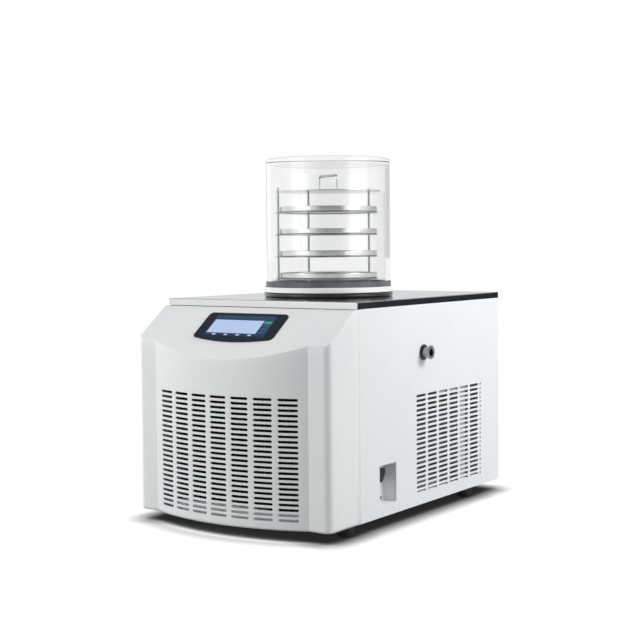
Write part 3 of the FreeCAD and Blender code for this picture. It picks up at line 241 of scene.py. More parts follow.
def curve_value(tree, source, stops):
    """A line through (degrees, value) stops. source: the share of a whole turn, with 0.5 in front."""
    ramp = tree.nodes.new("ShaderNodeFloatCurve")
    curve = ramp.mapping.curves[0]
    while len(curve.points) < len(stops):
        curve.points.new(0.5, 0.5)
    for point, (degrees, value) in zip(curve.points, stops):
        point.location = (degrees / 360 + 0.5, value)
        point.handle_type = "VECTOR"
    ramp.mapping.update()
    tree.links.new(source, ramp.inputs["Value"])
    return ramp.outputs["Value"]


def light_tent():
    """A white tent round the machine, open at the front right, with a dimmer roof and a white backdrop."""
    world = bpy.data.worlds.new("studio")
    bpy.context.scene.world = world
    world.use_nodes = True
    tree = world.node_tree
    background = tree.nodes["Background"]
    background.inputs["Color"].default_value = (1, 1, 1, 1)
    place = tree.nodes.new("ShaderNodeTexCoord")
    split = tree.nodes.new("ShaderNodeSeparateXYZ")
    tree.links.new(place.outputs["Generated"], split.inputs["Vector"])
    rise = split.outputs["Z"]
    to_front = arithmetic(tree, "MULTIPLY", split.outputs["Y"], -1.0)
    azimuth = arithmetic(tree, "ARCTAN2", split.outputs["X"], to_front)
    share = arithmetic(tree, "MULTIPLY_ADD", azimuth, 1 / (2 * math.pi), 0.5)
    wall = curve_value(tree, share, TENT_WALL)
    roof = curve_value(tree, share, TENT_ROOF)
    glow = arithmetic(tree, "MULTIPLY", spread(tree, rise, ROOF, wall, roof, smooth=True), TENT_SCALE)
    path = tree.nodes.new("ShaderNodeLightPath")
    ceiling = spread(tree, rise, CEILING, 0.0, CEILING_LIGHT, smooth=True)
    shine = arithmetic(tree, "MULTIPLY", ceiling, path.outputs["Is Glossy Ray"])
    bounces = arithmetic(tree, "ADD", path.outputs["Glossy Depth"], path.outputs["Diffuse Depth"])
    direct = arithmetic(tree, "LESS_THAN", bounces, 0.5)
    strength = spread(tree, direct, (0.0, 1.0), arithmetic(tree, "ADD", glow, shine), BACKDROP)
    tree.links.new(strength, background.inputs["Strength"])


def studio():
    """The tent, two soft boxes beside its opening, the floor and a dark card behind on the right."""
    bpy.context.scene.view_settings.view_transform = "Standard"
    light_tent()
    soft_box("left_box", -34, 2.2, 1.3, (1.0, 0.8), 9.7)
    soft_box("right_box", 108, 1.4, 1.3, (1.0, 0.7), 9.8)

    floor = flat_piece("studio_floor", (-45, 45), (-45, 45))
    paint(floor, floor_glow_painted_shadow())
    card = flat_piece("dark_card", (-1.5, 1.5), (0, 1.1))
    card.rotation_euler = (math.radians(90), 0, math.radians(-35))
    card.location = (2.2, 3.2, -0.3)
    paint(card, plain_material("dark_card_paint", (0.03, 0.033, 0.04), 0.9))
    card.visible_camera = card.visible_diffuse = card.visible_shadow = False
    card.visible_transmission = False


def openness(tree, reach):
    """1 where nothing is within reach over the floor, down to 0 where it is covered all round."""
    node = tree.nodes.new("ShaderNodeAmbientOcclusion")
    node.inputs["Distance"].default_value = reach
    node.samples = 16
    return node.outputs["AO"]


def floor_glow_painted_shadow():
    """A white glowing floor, with a shadow painted into its glow where the machine stands close over it."""
    material = bpy.data.materials.new("studio_floor_paint")
    material.use_nodes = True
    tree = material.node_tree
    tree.nodes.remove(tree.nodes["Principled BSDF"])
    paper = tree.nodes.new("ShaderNodeBsdfDiffuse")
    paper.inputs["Color"].default_value = (0.13, 0.13, 0.13, 1)
    # Painted shadow: the glow is dimmed where the machine stands close over the floor, and shade carries it.
    contact = arithmetic(tree, "POWER", openness(tree, CONTACT_REACH), CONTACT_POWER)
    cover = spread(tree, openness(tree, COVER_REACH), COVER, 0.0, 1.0, smooth=True)
    shade = arithmetic(tree, "MULTIPLY", contact, cover)
    glow = tree.nodes.new("ShaderNodeEmission")
    tree.links.new(arithmetic(tree, "ADD", shade, DARKEST), glow.inputs["Strength"])
    path = tree.nodes.new("ShaderNodeLightPath")
    mixed = tree.nodes.new("ShaderNodeMixShader")
    tree.links.new(path.outputs["Is Diffuse Ray"], mixed.inputs["Fac"])
    tree.links.new(glow.outputs["Emission"], mixed.inputs[1])
    tree.links.new(paper.outputs["BSDF"], mixed.inputs[2])
    tree.links.new(mixed.outputs["Shader"], tree.nodes["Material Output"].inputs["Surface"])
    return material


# ------------------------------------------------------------------ meshes
def new_piece(name, mesh, body="cabinet"):
    """An object that rides on a body. The studio's own pieces ride on none."""
    piece = bpy.data.objects.new(name, mesh)
    bpy.context.scene.collection.objects.link(piece)
    if body:
        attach(piece, body)
    return piece


def mesh_of(name, bm, smooth):
    """A mesh from a bmesh, which is used up."""
    mesh = bpy.data.meshes.new(name)
    bm.to_mesh(mesh)
    bm.free()
    mesh.polygons.foreach_set("use_smooth", [smooth] * len(mesh.polygons))
    return mesh


def closed_mesh(name, bm, smooth=True):
    """A mesh with its faces outwards and its sharp edges marked."""
    bmesh.ops.recalc_face_normals(bm, faces=bm.faces)
    for edge in bm.edges:
        edge.smooth = edge.is_manifold and edge.calc_face_angle(0) < SHARP
    return mesh_of(name, bm, smooth)


def flat_piece(name, across, along):
    """A rectangle on the floor, in metres, for the studio."""
    (left, right), (near, far) = across, along
    corners = ((left, near), (right, near), (right, far), (left, far))
    bm = bmesh.new()
    bm.faces.new([bm.verts.new((x, y, 0)) for x, y in corners])
    return new_piece(name, closed_mesh(name, bm, False), body=None)


def lathe(name, profile, centre, segments=128, along="z"):
    """A turned piece. profile: (radius, station) in millimetres round a line through centre, along x or z."""
    axis, side = Vector((0, 0, 1)), Vector((1, 0, 0))
    if along == "x":
        axis, side = side, axis
    other = axis.cross(side)
    turns = [2 * math.pi * i / segments for i in range(segments)]
    bm = bmesh.new()
    rings = []
    for radius, station in profile:
        middle = centre + axis * station * MM
        if radius == 0:
            rings.append([bm.verts.new(middle)])
            continue
        spokes = [(side * math.cos(turn) + other * math.sin(turn)) * radius * MM for turn in turns]
        rings.append([bm.verts.new(middle + spoke) for spoke in spokes])
    pairs = list(zip(rings, rings[1:]))
    if len(rings[0]) > 1:
        pairs.append((rings[-1], rings[0]))
    for one, two in pairs:
        for i in range(segments):
            j = (i + 1) % segments
            corners = []
            for vert in (one[i % len(one)], one[j % len(one)], two[j % len(two)], two[i % len(two)]):
                if vert not in corners:
                    corners.append(vert)
            if len(corners) > 2:
                bm.faces.new(corners)
    return new_piece(name, closed_mesh(name, bm), "cabinet")


def rounded(points, radii, steps=5):
    """A profile whose corners are rounded. radii: one for each corner, 0 to leave it sharp.

    A point a little before and after each arc keeps the straight parts' shading straight.
    """
    result = []
    count = len(points)
    for i, (corner, radius) in enumerate(zip(points, radii)):
        here = Vector(corner)
        if radius == 0:
            result.append(tuple(here))
            continue
        before = (Vector(points[i - 1]) - here).normalized()
        after = (Vector(points[(i + 1) % count]) - here).normalized()
        turn = before.angle(after)
        reach = radius / math.tan(turn / 2)
        middle = here + (before + after).normalized() * radius / math.sin(turn / 2)
        start = here + before * reach - middle
        end = here + after * reach - middle
        sweep = start.angle_signed(end)
        hold = radius * 0.2
        result.append(tuple(here + before * (reach + hold)))
        for step in range(steps + 1):
            share = -sweep * step / steps
            spot = Vector((start.x * math.cos(share) - start.y * math.sin(share),
                           start.x * math.sin(share) + start.y * math.cos(share)))
            result.append(tuple(middle + spot))
        result.append(tuple(here + after * (reach + hold)))
    return result


# ------------------------------------------------------------------ sheets with openings
class Opening:
    """A hole with rounded corners in a sheet, and the cell of the sheet's grid that surrounds it."""

    def __init__(self, left, right, low, high, radius, margin_u, margin_v):
        self.hole = (left, right, low, high)
        self.radius = radius
        self.cell = (left - margin_u, right + margin_u, low - margin_v, high + margin_v)

    def lines(self, way, share, inside):
        """Grid lines through the cell: its borders, two by the rounded corners, and those between them."""
        low, high = self.hole[way:way + 2]
        r = self.radius
        straight = [low + r + (high - low - 2 * r) * i / inside for i in range(inside + 1)]
        return [self.cell[way], low + share * r, *straight, high - share * r, self.cell[way + 1]]

    def u_lines(self, inside=1):
        """Lines across the sheet's run; inside: the strips between the hole's rounded corners."""
        return self.lines(0, 0.25, inside)

    def v_lines(self):
        """Lines across the sheet's height."""
        return self.lines(2, 0.4, 1)

    def rim_point(self, u, v):
        """The point of the hole's rim that faces a point of the cell's border."""
        left, right, low, high = self.hole
        r = self.radius
        near = Vector((min(max(u, left + r), right - r), min(max(v, low + r), high - r)))
        away = (Vector((u, v)) - near).normalized()
        return near + away * r


def merged_lines(values):
    """Sorted grid lines without near repeats."""
    lines = []
    for number in sorted(values):
        if not lines or number - lines[-1] > NEAR:
            lines.append(number)
    return lines


def nearest(lines, number):
    return min(range(len(lines)), key=lambda i: abs(lines[i] - number))


def sheet_bmesh(u_values, v_values, openings, place, keep=None):
    """A sheet as a grid with openings, laid in space by place(u, v). Rims carry a small bevel weight."""
    bm = bmesh.new()
    weight = bm.edges.layers.float.new("bevel_weight_edge")
    us, vs = merged_lines(u_values), merged_lines(v_values)
    grid = {}

    def vertex(i, j):
        if (i, j) not in grid:
            grid[(i, j)] = bm.verts.new(place(us[i], vs[j]))
        return grid[(i, j)]
    covered = set()
    for opening in openings:
        i0, i1 = nearest(us, opening.cell[0]), nearest(us, opening.cell[1])
        j0, j1 = nearest(vs, opening.cell[2]), nearest(vs, opening.cell[3])
        covered.update((i, j) for i in range(i0, i1) for j in range(j0, j1))
        border = [(i, j0) for i in range(i0, i1)] + [(i1, j) for j in range(j0, j1)]
        border += [(i, j1) for i in range(i1, i0, -1)] + [(i0, j) for j in range(j1, j0, -1)]
        rim = []
        for i, j in border:
            point = opening.rim_point(us[i], vs[j])
            rim.append(bm.verts.new(place(point.x, point.y)))
        for k in range(len(border)):
            n = (k + 1) % len(border)
            bm.faces.new((vertex(*border[k]), vertex(*border[n]), rim[n], rim[k]))
            bm.edges.get((rim[k], rim[n]))[weight] = 0.2
    for i in range(len(us) - 1):
        for j in range(len(vs) - 1):
            if (i, j) in covered or (keep and not keep((us[i] + us[i + 1]) / 2, (vs[j] + vs[j + 1]) / 2)):
                continue
            bm.faces.new((vertex(i, j), vertex(i + 1, j), vertex(i + 1, j + 1), vertex(i, j + 1)))
    return bm, weight, us


def slot_hole(left, length, middle, gap):
    """A round-ended hole. middle: its height; gap: the bar between it and the next column."""
    half = SLOT_TALL / 2
    return Opening(left, left + length, middle - half, middle + half, half - 0.001, gap / 2,
                   (ROW_PITCH - SLOT_TALL) / 2)


def slot_field(first, pitch, columns, low, rows, length):
    """Slots column by column. first: the left end of the first column's slots."""
    return [slot_hole(first + column * pitch, length, low + row * ROW_PITCH, pitch - length)
            for column in range(columns) for row in range(rows)]


def field_lines(slots, rows, inside=1):
    """The grid lines of a field of slots, along the sheet's run and up its height."""
    us = [line for slot in slots[::rows] for line in slot.u_lines(inside)]
    return us, [line for slot in slots[:rows] for line in slot.v_lines()]


def face_outwards(bm, outward):
    """Turns every face of an open sheet to the same side. outward(centre) gives the wanted direction."""
    bmesh.ops.recalc_face_normals(bm, faces=bm.faces)
    bm.faces.ensure_lookup_table()
    face = bm.faces[0]
    if face.normal.dot(outward(face.calc_center_median())) < 0:
        bmesh.ops.reverse_faces(bm, faces=bm.faces)


def sheet_piece(name, mesh, material, wall, edge, segments):
    """A painted sheet, thickened inwards from the face that shows, with its weighted edges rounded."""
    piece = new_piece(name, mesh, "cabinet")
    thickness = piece.modifiers.new("wall", "SOLIDIFY")
    thickness.thickness = wall * MM
    thickness.offset = -1
    thickness.use_even_offset = True
    rounding = piece.modifiers.new("edge_rounding", "BEVEL")
    rounding.width = edge * MM
    rounding.segments = segments
    rounding.limit_method = "WEIGHT"
    rounding.harden_normals = False
    paint(piece, material)
    return piece


# ------------------------------------------------------------------ front panel
# Where the grid's rows begin to bend towards the facet's foot, and how many rows the facet has.
GRID_TURN = 250
FACET_ROWS = 8


def front_depth(x):
    """Where the front panel's face lies, in Y, at a distance from the middle, between its corners."""
    if abs(x) >= BOW_HALF:
        return -FRONT_REACH
    radius = (BOW_HALF ** 2 + BOW_RISE ** 2) / (2 * BOW_RISE)
    return -FRONT_REACH - (math.sqrt(radius ** 2 - x ** 2) - (radius - BOW_RISE))


def front_plan(u):
    """The front panel's outline in plan: u runs along the front, then round the corner and back."""
    side = 1 if u >= 0 else -1
    run = abs(u)
    if run <= STRAIGHT:
        return u, front_depth(u)
    if run <= STRAIGHT + ARC:
        turn = (run - STRAIGHT) / CORNER
        return side * (STRAIGHT + CORNER * math.sin(turn)), -FRONT_REACH + CORNER * (1 - math.cos(turn))
    return side * HALF_WIDTH, -FRONT_REACH + CORNER + run - STRAIGHT - ARC


def facet_height(y):
    """How high the facet's plane is at a depth."""
    return CREASE + (y + FRONT_REACH) * math.tan(FACET_SLOPE)


def front_face(slots, facet_rear):
    """The panel's upright face: bow, flat strips, round corners and flanks, up to the crease."""
    us, vs = field_lines(slots, FRONT_ROWS, 3)
    side_start = STRAIGHT + ARC
    facet_run = facet_rear + FRONT_REACH - CORNER
    # The right half's lines. The first and third keep the shading straight beside the bow and the corner.
    half = [BOW_HALF - 6, BOW_HALF, STRAIGHT - 2, STRAIGHT]
    half += [STRAIGHT + ARC * step / 6 for step in range(1, 7)]
    half += [side_start + facet_run * step / FACET_ROWS for step in range(1, FACET_ROWS + 1)]
    half.append(side_start + FRONT_RETURN + FRONT_REACH - CORNER)
    us += half + [-u for u in half]
    stretch = 50
    vs += [0, 4] + [GRID_TURN + stretch * step / 4 for step in range(5)]

    def place(u, v):
        """Above GRID_TURN the rows are stretched, so that the last one runs along the facet's foot."""
        x, y = front_plan(u)
        z = v
        if v > GRID_TURN:
            z = GRID_TURN + (v - GRID_TURN) / stretch * (min(LEDGE, facet_height(y)) - GRID_TURN)
        return at(x, y, z)
    return sheet_bmesh(us, vs, slots, place)


def add_facet(bm, us, facet_rear):
    """The sloped facet from the crease back to the ledge, and the flat ledge under the top plate."""
    front = [u for u in us if abs(u) <= STRAIGHT + ARC + NEAR]
    rows = []
    for step in range(FACET_ROWS + 1):
        row = []
        for u in front:
            x, y = front_plan(u)
            deep = y + (facet_rear - y) * step / FACET_ROWS
            row.append(bm.verts.new(at(x, deep, facet_height(deep))))
        rows.append(row)
    rows.append([bm.verts.new(at(front_plan(u)[0], FRONT_RETURN, LEDGE)) for u in front])
    for lower, upper in zip(rows, rows[1:]):
        for i in range(len(front) - 1):
            bm.faces.new((lower[i], lower[i + 1], upper[i + 1], upper[i]))
    bmesh.ops.remove_doubles(bm, verts=bm.verts, dist=NEAR * MM)


def front_panel(material):
    """The moulded front: bowed and slotted, round corners, sloped facet and the ledge under the top plate."""
    first = FRONT_SHIFT - (FRONT_COLUMNS - 1) / 2 * FRONT_PITCH - FRONT_SLOT / 2
    slots = slot_field(first, FRONT_PITCH, FRONT_COLUMNS, FRONT_LOW, FRONT_ROWS, FRONT_SLOT)
    facet_rear = (LEDGE - CREASE) / math.tan(FACET_SLOPE) - FRONT_REACH
    bm, weight, us = front_face(slots, facet_rear)
    add_facet(bm, us, facet_rear)
    rounded_from, sharp_from = math.radians(25), math.radians(18)
    for edge in bm.edges:
        if len(edge.link_faces) == 2 and edge[weight] == 0:
            if edge.calc_face_angle(0) > rounded_from:
                edge[weight] = 1.0
            elif edge.calc_face_angle(0) > sharp_from:
                edge.smooth = False
    face_outwards(bm, lambda centre: Vector((0, -1, 0)))
    mesh = mesh_of("front_cover", bm, True)
    piece = sheet_piece("front_cover", mesh, material, wall=PANEL_WALL, edge=2.4, segments=3)
    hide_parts("front_panel")


# ------------------------------------------------------------------ side and rear sheets
def plain_sheet(name, bm, outward, material):
    """A painted steel sheet of the cabinet."""
    face_outwards(bm, outward)
    mesh = mesh_of(name, bm, False)
    return sheet_piece(name, mesh, material, wall=SHEET_WALL, edge=1.2, segments=2)


def side_panel(name, side, extra, material):
    """A side sheet with its vent. side: 1 right, -1 left."""
    slots = slot_field(SIDE_START, SIDE_PITCH, SIDE_COLUMNS, SIDE_LOW, SIDE_ROWS, SIDE_SLOT)
    us, vs = field_lines(slots, SIDE_ROWS)
    # The second line keeps the lip's fold crisp.
    us += [SIDE_FRONT - LIP, SIDE_FRONT - 2, SIDE_FRONT, DEPTH]
    vs += [0, LIP_FOOT, HEIGHT]
    for opening in extra:
        us += opening.u_lines()
        vs += opening.v_lines()

    def place(u, v):
        inward = max(0, SIDE_FRONT - u)
        return at(side * (HALF_WIDTH - inward), max(u, SIDE_FRONT), v)

    def keep(u, v):
        return u > SIDE_FRONT or v > LIP_FOOT

    def outward(centre):
        on_side = centre.y > at(0, SIDE_FRONT + LIP, 0).y
        return Vector((side, 0, 0)) if on_side else Vector((0, -1, 0))
    bm, _, _ = sheet_bmesh(us, vs, slots + extra, place, keep)
    return plain_sheet(name, bm, outward, material)


def right_side(material):
    """The right sheet: vent, a last column of round holes, the port's hole and the drain recess."""
    start = SIDE_START + SIDE_COLUMNS * SIDE_PITCH
    extra = [slot_hole(start, SLOT_TALL, SIDE_LOW + row * ROW_PITCH, SIDE_PITCH - SIDE_SLOT)
             for row in range(SIDE_ROWS)]
    port_span = (AXIS_Y - PORT_HOLE, AXIS_Y + PORT_HOLE, PORT_HEIGHT - PORT_HOLE, PORT_HEIGHT + PORT_HOLE)
    extra.append(Opening(*port_span, radius=PORT_HOLE - 0.01, margin_u=4, margin_v=4))
    extra.append(Opening(*RECESS, radius=1.5, margin_u=3, margin_v=3))
    piece = side_panel("right_side_sheet", 1, extra, material)
    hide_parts("right_side_panel")


def left_side(material):
    """The left sheet, with only its vent."""
    piece = side_panel("left_side_sheet", -1, [], material)
    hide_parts("left_side_panel")


def rear_panel(material):
    """The plain rear sheet with the cut-outs of the mains inlet and the switch."""
    cut_outs = [Opening(*hole, radius=1, margin_u=3, margin_v=3) for hole in (INLET_HOLE, SWITCH_HOLE)]
    us = [SHEET_WALL - HALF_WIDTH, HALF_WIDTH - SHEET_WALL]
    vs = [0, HEIGHT]
    for opening in cut_outs:
        us += opening.u_lines()
        vs += opening.v_lines()
    bm, _, _ = sheet_bmesh(us, vs, cut_outs, lambda u, v: at(u, DEPTH, v))
    piece = plain_sheet("rear_sheet", bm, lambda centre: Vector((0, 1, 0)), material)
    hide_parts("rear_panel")


# ------------------------------------------------------------------ materials
# The stretch of a noise's values over which a colour or a roughness goes from its low to its high end.
COLOUR_SPAN = (0.35, 0.65)
GLOSS_SPAN = (0.3, 0.7)


def plain_material(name, colour, roughness, metallic=0.0):
    """An even material, which the functions below vary."""
    material = bpy.data.materials.new(name)
    material.use_nodes = True
    shader = shader_of(material)
    shader.inputs["Base Color"].default_value = (*colour, 1)
    shader.inputs["Roughness"].default_value = roughness
    shader.inputs["Metallic"].default_value = metallic
    return material


def shader_of(material):
    return material.node_tree.nodes["Principled BSDF"]


def noise(material, scale, detail=3, stretch=(1, 1, 1)):
    """A noise texture in the object's own coordinates; scale is features per metre."""
    tree = material.node_tree
    place = tree.nodes.new("ShaderNodeTexCoord")
    mapping = tree.nodes.new("ShaderNodeMapping")
    mapping.inputs["Scale"].default_value = stretch
    texture = tree.nodes.new("ShaderNodeTexNoise")
    texture.inputs["Scale"].default_value = scale
    texture.inputs["Detail"].default_value = detail
    tree.links.new(place.outputs["Object"], mapping.inputs["Vector"])
    tree.links.new(mapping.outputs["Vector"], texture.inputs["Vector"])
    return texture


def vary_colour(material, low, high, scale, detail=3, stretch=(1, 1, 1)):
    """Soft patches between two colours."""
    tree = material.node_tree
    texture = noise(material, scale, detail, stretch)
    ramp = tree.nodes.new("ShaderNodeValToRGB")
    for stop, position, colour in zip(ramp.color_ramp.elements, COLOUR_SPAN, (low, high)):
        stop.position = position
        stop.color = (*colour, 1)
    tree.links.new(texture.outputs["Fac"], ramp.inputs["Fac"])
    tree.links.new(ramp.outputs["Color"], shader_of(material).inputs["Base Color"])


def vary_roughness(material, low, high, scale, detail=3, stretch=(1, 1, 1)):
    """Soft patches between two roughnesses."""
    tree = material.node_tree
    texture = noise(material, scale, detail, stretch)
    roughness = spread(tree, texture.outputs["Fac"], GLOSS_SPAN, low, high)
    tree.links.new(roughness, shader_of(material).inputs["Roughness"])


def add_bump(material, scale, height):
    """Surface grain; height in millimetres."""
    tree = material.node_tree
    texture = noise(material, scale, 2)
    bump = tree.nodes.new("ShaderNodeBump")
    bump.inputs["Distance"].default_value = height * MM
    tree.links.new(texture.outputs["Fac"], bump.inputs["Height"])
    tree.links.new(bump.outputs["Normal"], shader_of(material).inputs["Normal"])


def paint(piece, material):
    """Gives a piece its only material."""
    piece.data.materials.clear()
    piece.data.materials.append(material)


def powder_coat(name="powder_coat", shade=0.84):
    material = plain_material(name, (shade, shade, shade), 0.42)
    cool = (shade - 0.015, shade - 0.002, shade + 0.02)
    light = (shade + 0.01, shade + 0.018, shade + 0.035)
    vary_colour(material, cool, light, 6)
    vary_roughness(material, 0.36, 0.48, 25)
    add_bump(material, 700, 0.03)
    return material


def moulded_white():
    material = plain_material("moulded_white", (0.84, 0.85, 0.85), 0.3)
    vary_colour(material, (0.825, 0.835, 0.84), (0.85, 0.855, 0.855), 5)
    vary_roughness(material, 0.28, 0.36, 18)
    add_bump(material, 1600, 0.008)
    return material


def mirror_steel():
    material = plain_material("mirror_steel", (0.68, 0.69, 0.70), 0.1, 1.0)
    vary_colour(material, (0.665, 0.675, 0.685), (0.695, 0.70, 0.705), 9)
    vary_roughness(material, 0.07, 0.13, 14)
    return material


def satin_steel(name="satin_steel", colour=(0.62, 0.63, 0.64), gloss=(0.2, 0.26), metallic=1.0):
    """Stainless steel, finely brushed round the piece."""
    material = plain_material(name, colour, gloss[0], metallic)
    around = (1, 1, 0.06)
    vary_colour(material, tuple(c * 0.97 for c in colour), tuple(c * 1.03 for c in colour), 40, 4, around)
    vary_roughness(material, *gloss, 300, 2, around)
    return material


def acrylic():
    material = plain_material("clear_acrylic", (0.925, 0.926, 0.926), 0.02)
    shader = shader_of(material)
    shader.inputs["Transmission Weight"].default_value = 1.0
    shader.inputs["IOR"].default_value = 1.49
    vary_roughness(material, 0.0, 0.03, 12)
    return material


def rubber(name="black_rubber", colour=(0.018, 0.018, 0.019), gloss=(0.28, 0.4), shine=0.5):
    material = plain_material(name, colour, gloss[0])
    shader_of(material).inputs["Specular IOR Level"].default_value = shine
    vary_colour(material, colour, tuple(c * 1.5 for c in colour), 30)
    vary_roughness(material, *gloss, 60)
    add_bump(material, 500, 0.02)
    return material


def dark_moulding():
    material = plain_material("dark_moulding", (0.02, 0.02, 0.022), 0.4)
    vary_colour(material, (0.02, 0.02, 0.022), (0.028, 0.028, 0.0308), 50)
    vary_roughness(material, 0.33, 0.5, 90)
    add_bump(material, 1400, 0.012)
    return material


def zinc(name="zinc_sheet", colour=(0.10, 0.105, 0.11)):
    material = plain_material(name, colour, 0.45, 0.9)
    vary_colour(material, tuple(c * 0.8 for c in colour), tuple(c * 1.15 for c in colour), 45)
    vary_roughness(material, 0.35, 0.55, 60)
    add_bump(material, 300, 0.02)
    return material


def copper():
    material = plain_material("copper_tube", (0.62, 0.30, 0.18), 0.35, 1.0)
    vary_colour(material, (0.50, 0.23, 0.14), (0.70, 0.36, 0.22), 60)
    vary_roughness(material, 0.25, 0.5, 80)
    return material


def foam():
    material = plain_material("rigid_foam", (0.70, 0.62, 0.38), 0.9)
    vary_colour(material, (0.64, 0.55, 0.32), (0.74, 0.66, 0.42), 60)
    add_bump(material, 250, 0.6)
    return material


def black_glass():
    material = plain_material("black_glass", (0.012, 0.017, 0.030), 0.06)
    shader_of(material).inputs["Specular IOR Level"].default_value = 0.2
    vary_colour(material, (0.010, 0.014, 0.026), (0.014, 0.019, 0.033), 8)
    vary_roughness(material, 0.04, 0.09, 20)
    return material


def lit_field(name, colour):
    """A glowing field of the display."""
    material = plain_material(name, (0.004, 0.006, 0.010), 0.08)
    shader = shader_of(material)
    shader.inputs["Specular IOR Level"].default_value = 0.2
    shader.inputs["Emission Color"].default_value = (*colour, 1)
    shader.inputs["Emission Strength"].default_value = 1
    vary_colour(material, (0.003, 0.005, 0.009), (0.005, 0.007, 0.012), 30)
    return material


def hose_rubber():
    material = plain_material("silicone_hose", (0.62, 0.65, 0.66), 0.35)
    shader_of(material).inputs["Subsurface Weight"].default_value = 0.1
    vary_colour(material, (0.58, 0.61, 0.62), (0.66, 0.69, 0.70), 40)
    return material


def brass():
    material = plain_material("turned_brass", (0.72, 0.52, 0.22), 0.3, 1.0)
    vary_colour(material, (0.66, 0.46, 0.18), (0.78, 0.58, 0.26), 70)
    vary_roughness(material, 0.22, 0.4, 200, 3, (0.1, 1, 1))
    return material


# ------------------------------------------------------------------ display
# How far the fields of colour lie over the facet's plane, and how thick they are.
SCREEN_LIFT = 2.0
FIELD_LIFT = 2.06
RULE_LIFT = 2.12
FIELD_THICK = 0.05


def on_facet(x, up, lift):
    """A point over the sloped facet: up runs up the slope from the facet's foot, lift is off its face."""
    return at(x, -FRONT_REACH + up * math.cos(FACET_SLOPE) - lift * math.sin(FACET_SLOPE),
              CREASE + up * math.sin(FACET_SLOPE) + lift * math.cos(FACET_SLOPE))


def screen_field(name, left, right, low, high, material, lift=FIELD_LIFT):
    """A thin rectangle of colour on the screen's glass."""
    bm = bmesh.new()
    corners = ((left, low), (right, low), (right, high), (left, high))
    under = [bm.verts.new(on_facet(x, up, lift)) for x, up in corners]
    over = [bm.verts.new(on_facet(x, up, lift + FIELD_THICK)) for x, up in corners]
    bm.faces.new(under)
    bm.faces.new(over)
    for i in range(4):
        j = (i + 1) % 4
        bm.faces.new((under[i], under[j], over[j], over[i]))
    piece = new_piece(name, closed_mesh(name, bm, False), "cabinet")
    paint(piece, material)


def display():
    """Plain fields of colour: a header, a pale chart field, a column of keys and a foot row of marks.

    Each is given by its left, right, low and high edges on the facet.
    """
    navy = lit_field("display_navy", (0.012, 0.035, 0.085))
    pale = lit_field("display_pale", (0.46, 0.58, 0.82))
    green = lit_field("display_green", (0.025, 0.33, 0.17))
    blue = lit_field("display_blue", (0.035, 0.085, 0.14))
    header = lit_field("display_header", (0.022, 0.05, 0.095))
    line = lit_field("display_line", (0.40, 0.50, 0.72))
    screen_field("screen_backdrop", -71, 71, 17.5, 77, navy, SCREEN_LIFT)
    screen_field("screen_chart", -68, 48, 25, 63, pale)
    screen_field("screen_header", -68, 70, 65.5, 75, header)
    screen_field("screen_start_key", 51, 68, 54, 62, green)
    for k in range(3):
        screen_field("screen_key_%d" % (k + 1), 51, 68, 27 + 9 * k, 33 + 9 * k, blue)
    for k in range(4):
        middle = -47 + 28 * k
        screen_field("screen_mark_%d" % (k + 1), middle - 4, middle + 4, 18.6, 22.4, pale)
    for k in range(4):
        low = 31 + 8 * k
        screen_field("screen_rule_%d" % (k + 1), -60, 36 - 14 * (k % 2), low, low + 0.8, line, RULE_LIFT)


# ------------------------------------------------------------------ chamber, rack and fittings
def ring_extent(node):
    """The lowest and highest station and the outer radius of a node turned about the upright axis."""
    low, high = extent(node)
    return low.z, high.z, (high.x - low.x) / 2


def side_extent(node):
    """The same for a node turned about an axis that runs from side to side."""
    low, high = extent(node)
    return low.x, high.x, (high.z - low.z) / 2


def turned_node(node, name, profile, material, centre=None, along="z", segments=160):
    """A turned piece that stands for a CAD node or several. profile: (radius, station, corner radius)."""
    corners = [(radius, station) for radius, station, _ in profile]
    outline = rounded(corners, [corner for _, _, corner in profile])
    piece = lathe(name, outline, centre or at(0, AXIS_Y, 0), segments, along)
    paint(piece, material)
    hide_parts(*([node] if isinstance(node, str) else node))


def seal_ring(material):
    """The black ring with a round outer edge, stepped where it laps into the top plate's opening."""
    low, high, outer = ring_extent("seal_ring")
    bore, plate_hole, lap = 104, 118.8, 1.6
    half = (high - low) / 2 - 0.1
    profile = [(bore, low + lap, 0), (plate_hole, low + lap, 0), (plate_hole, low, 0), (outer, low, half),
               (outer, high, half), (bore, high, 0)]
    turned_node("seal_ring", "seal_ring_round", profile, material)


def flange_ring(material):
    """The bright ring under the chamber, with its edges broken."""
    low, high, outer = ring_extent("flange_ring")
    bore = 100
    profile = [(bore, low, 0.4), (outer, low, 1.4), (outer, high, 1.4), (bore, high, 0.6)]
    turned_node("flange_ring", "flange_ring_round", profile, material)


def chamber_gasket(material):
    """The grey gasket with the groove that the cylinder stands in."""
    low, high, outer = ring_extent("chamber_gasket")
    bore, groove_inner, groove_outer, groove_foot, lip = 118.5, 120.1, 127.3, low + 4, 0.75
    profile = [(bore, low, 0.3), (outer, low, 1.2), (outer, high, lip), (groove_outer, high, lip),
               (groove_outer, groove_foot, 0), (groove_inner, groove_foot, 0), (groove_inner, high, lip),
               (bore, high, lip)]
    turned_node("chamber_gasket", "chamber_gasket_round", profile, material)


def chamber_shell(material):
    """The clear cylinder and its lid, drawn as one shell so that no seam shows between them."""
    foot, _, _ = ring_extent("chamber_cylinder")
    lid, top, outer = ring_extent("chamber_lid")
    wall = 7
    inner = outer - wall
    foot += HAIR
    profile = [(0, lid, 0), (inner, lid, 0), (inner, foot, 0.4), (outer, foot, 0.4), (outer, top, 1.2),
               (0, top, 0)]
    turned_node(("chamber_cylinder", "chamber_lid"), "chamber_shell", profile, material,
                segments=192)


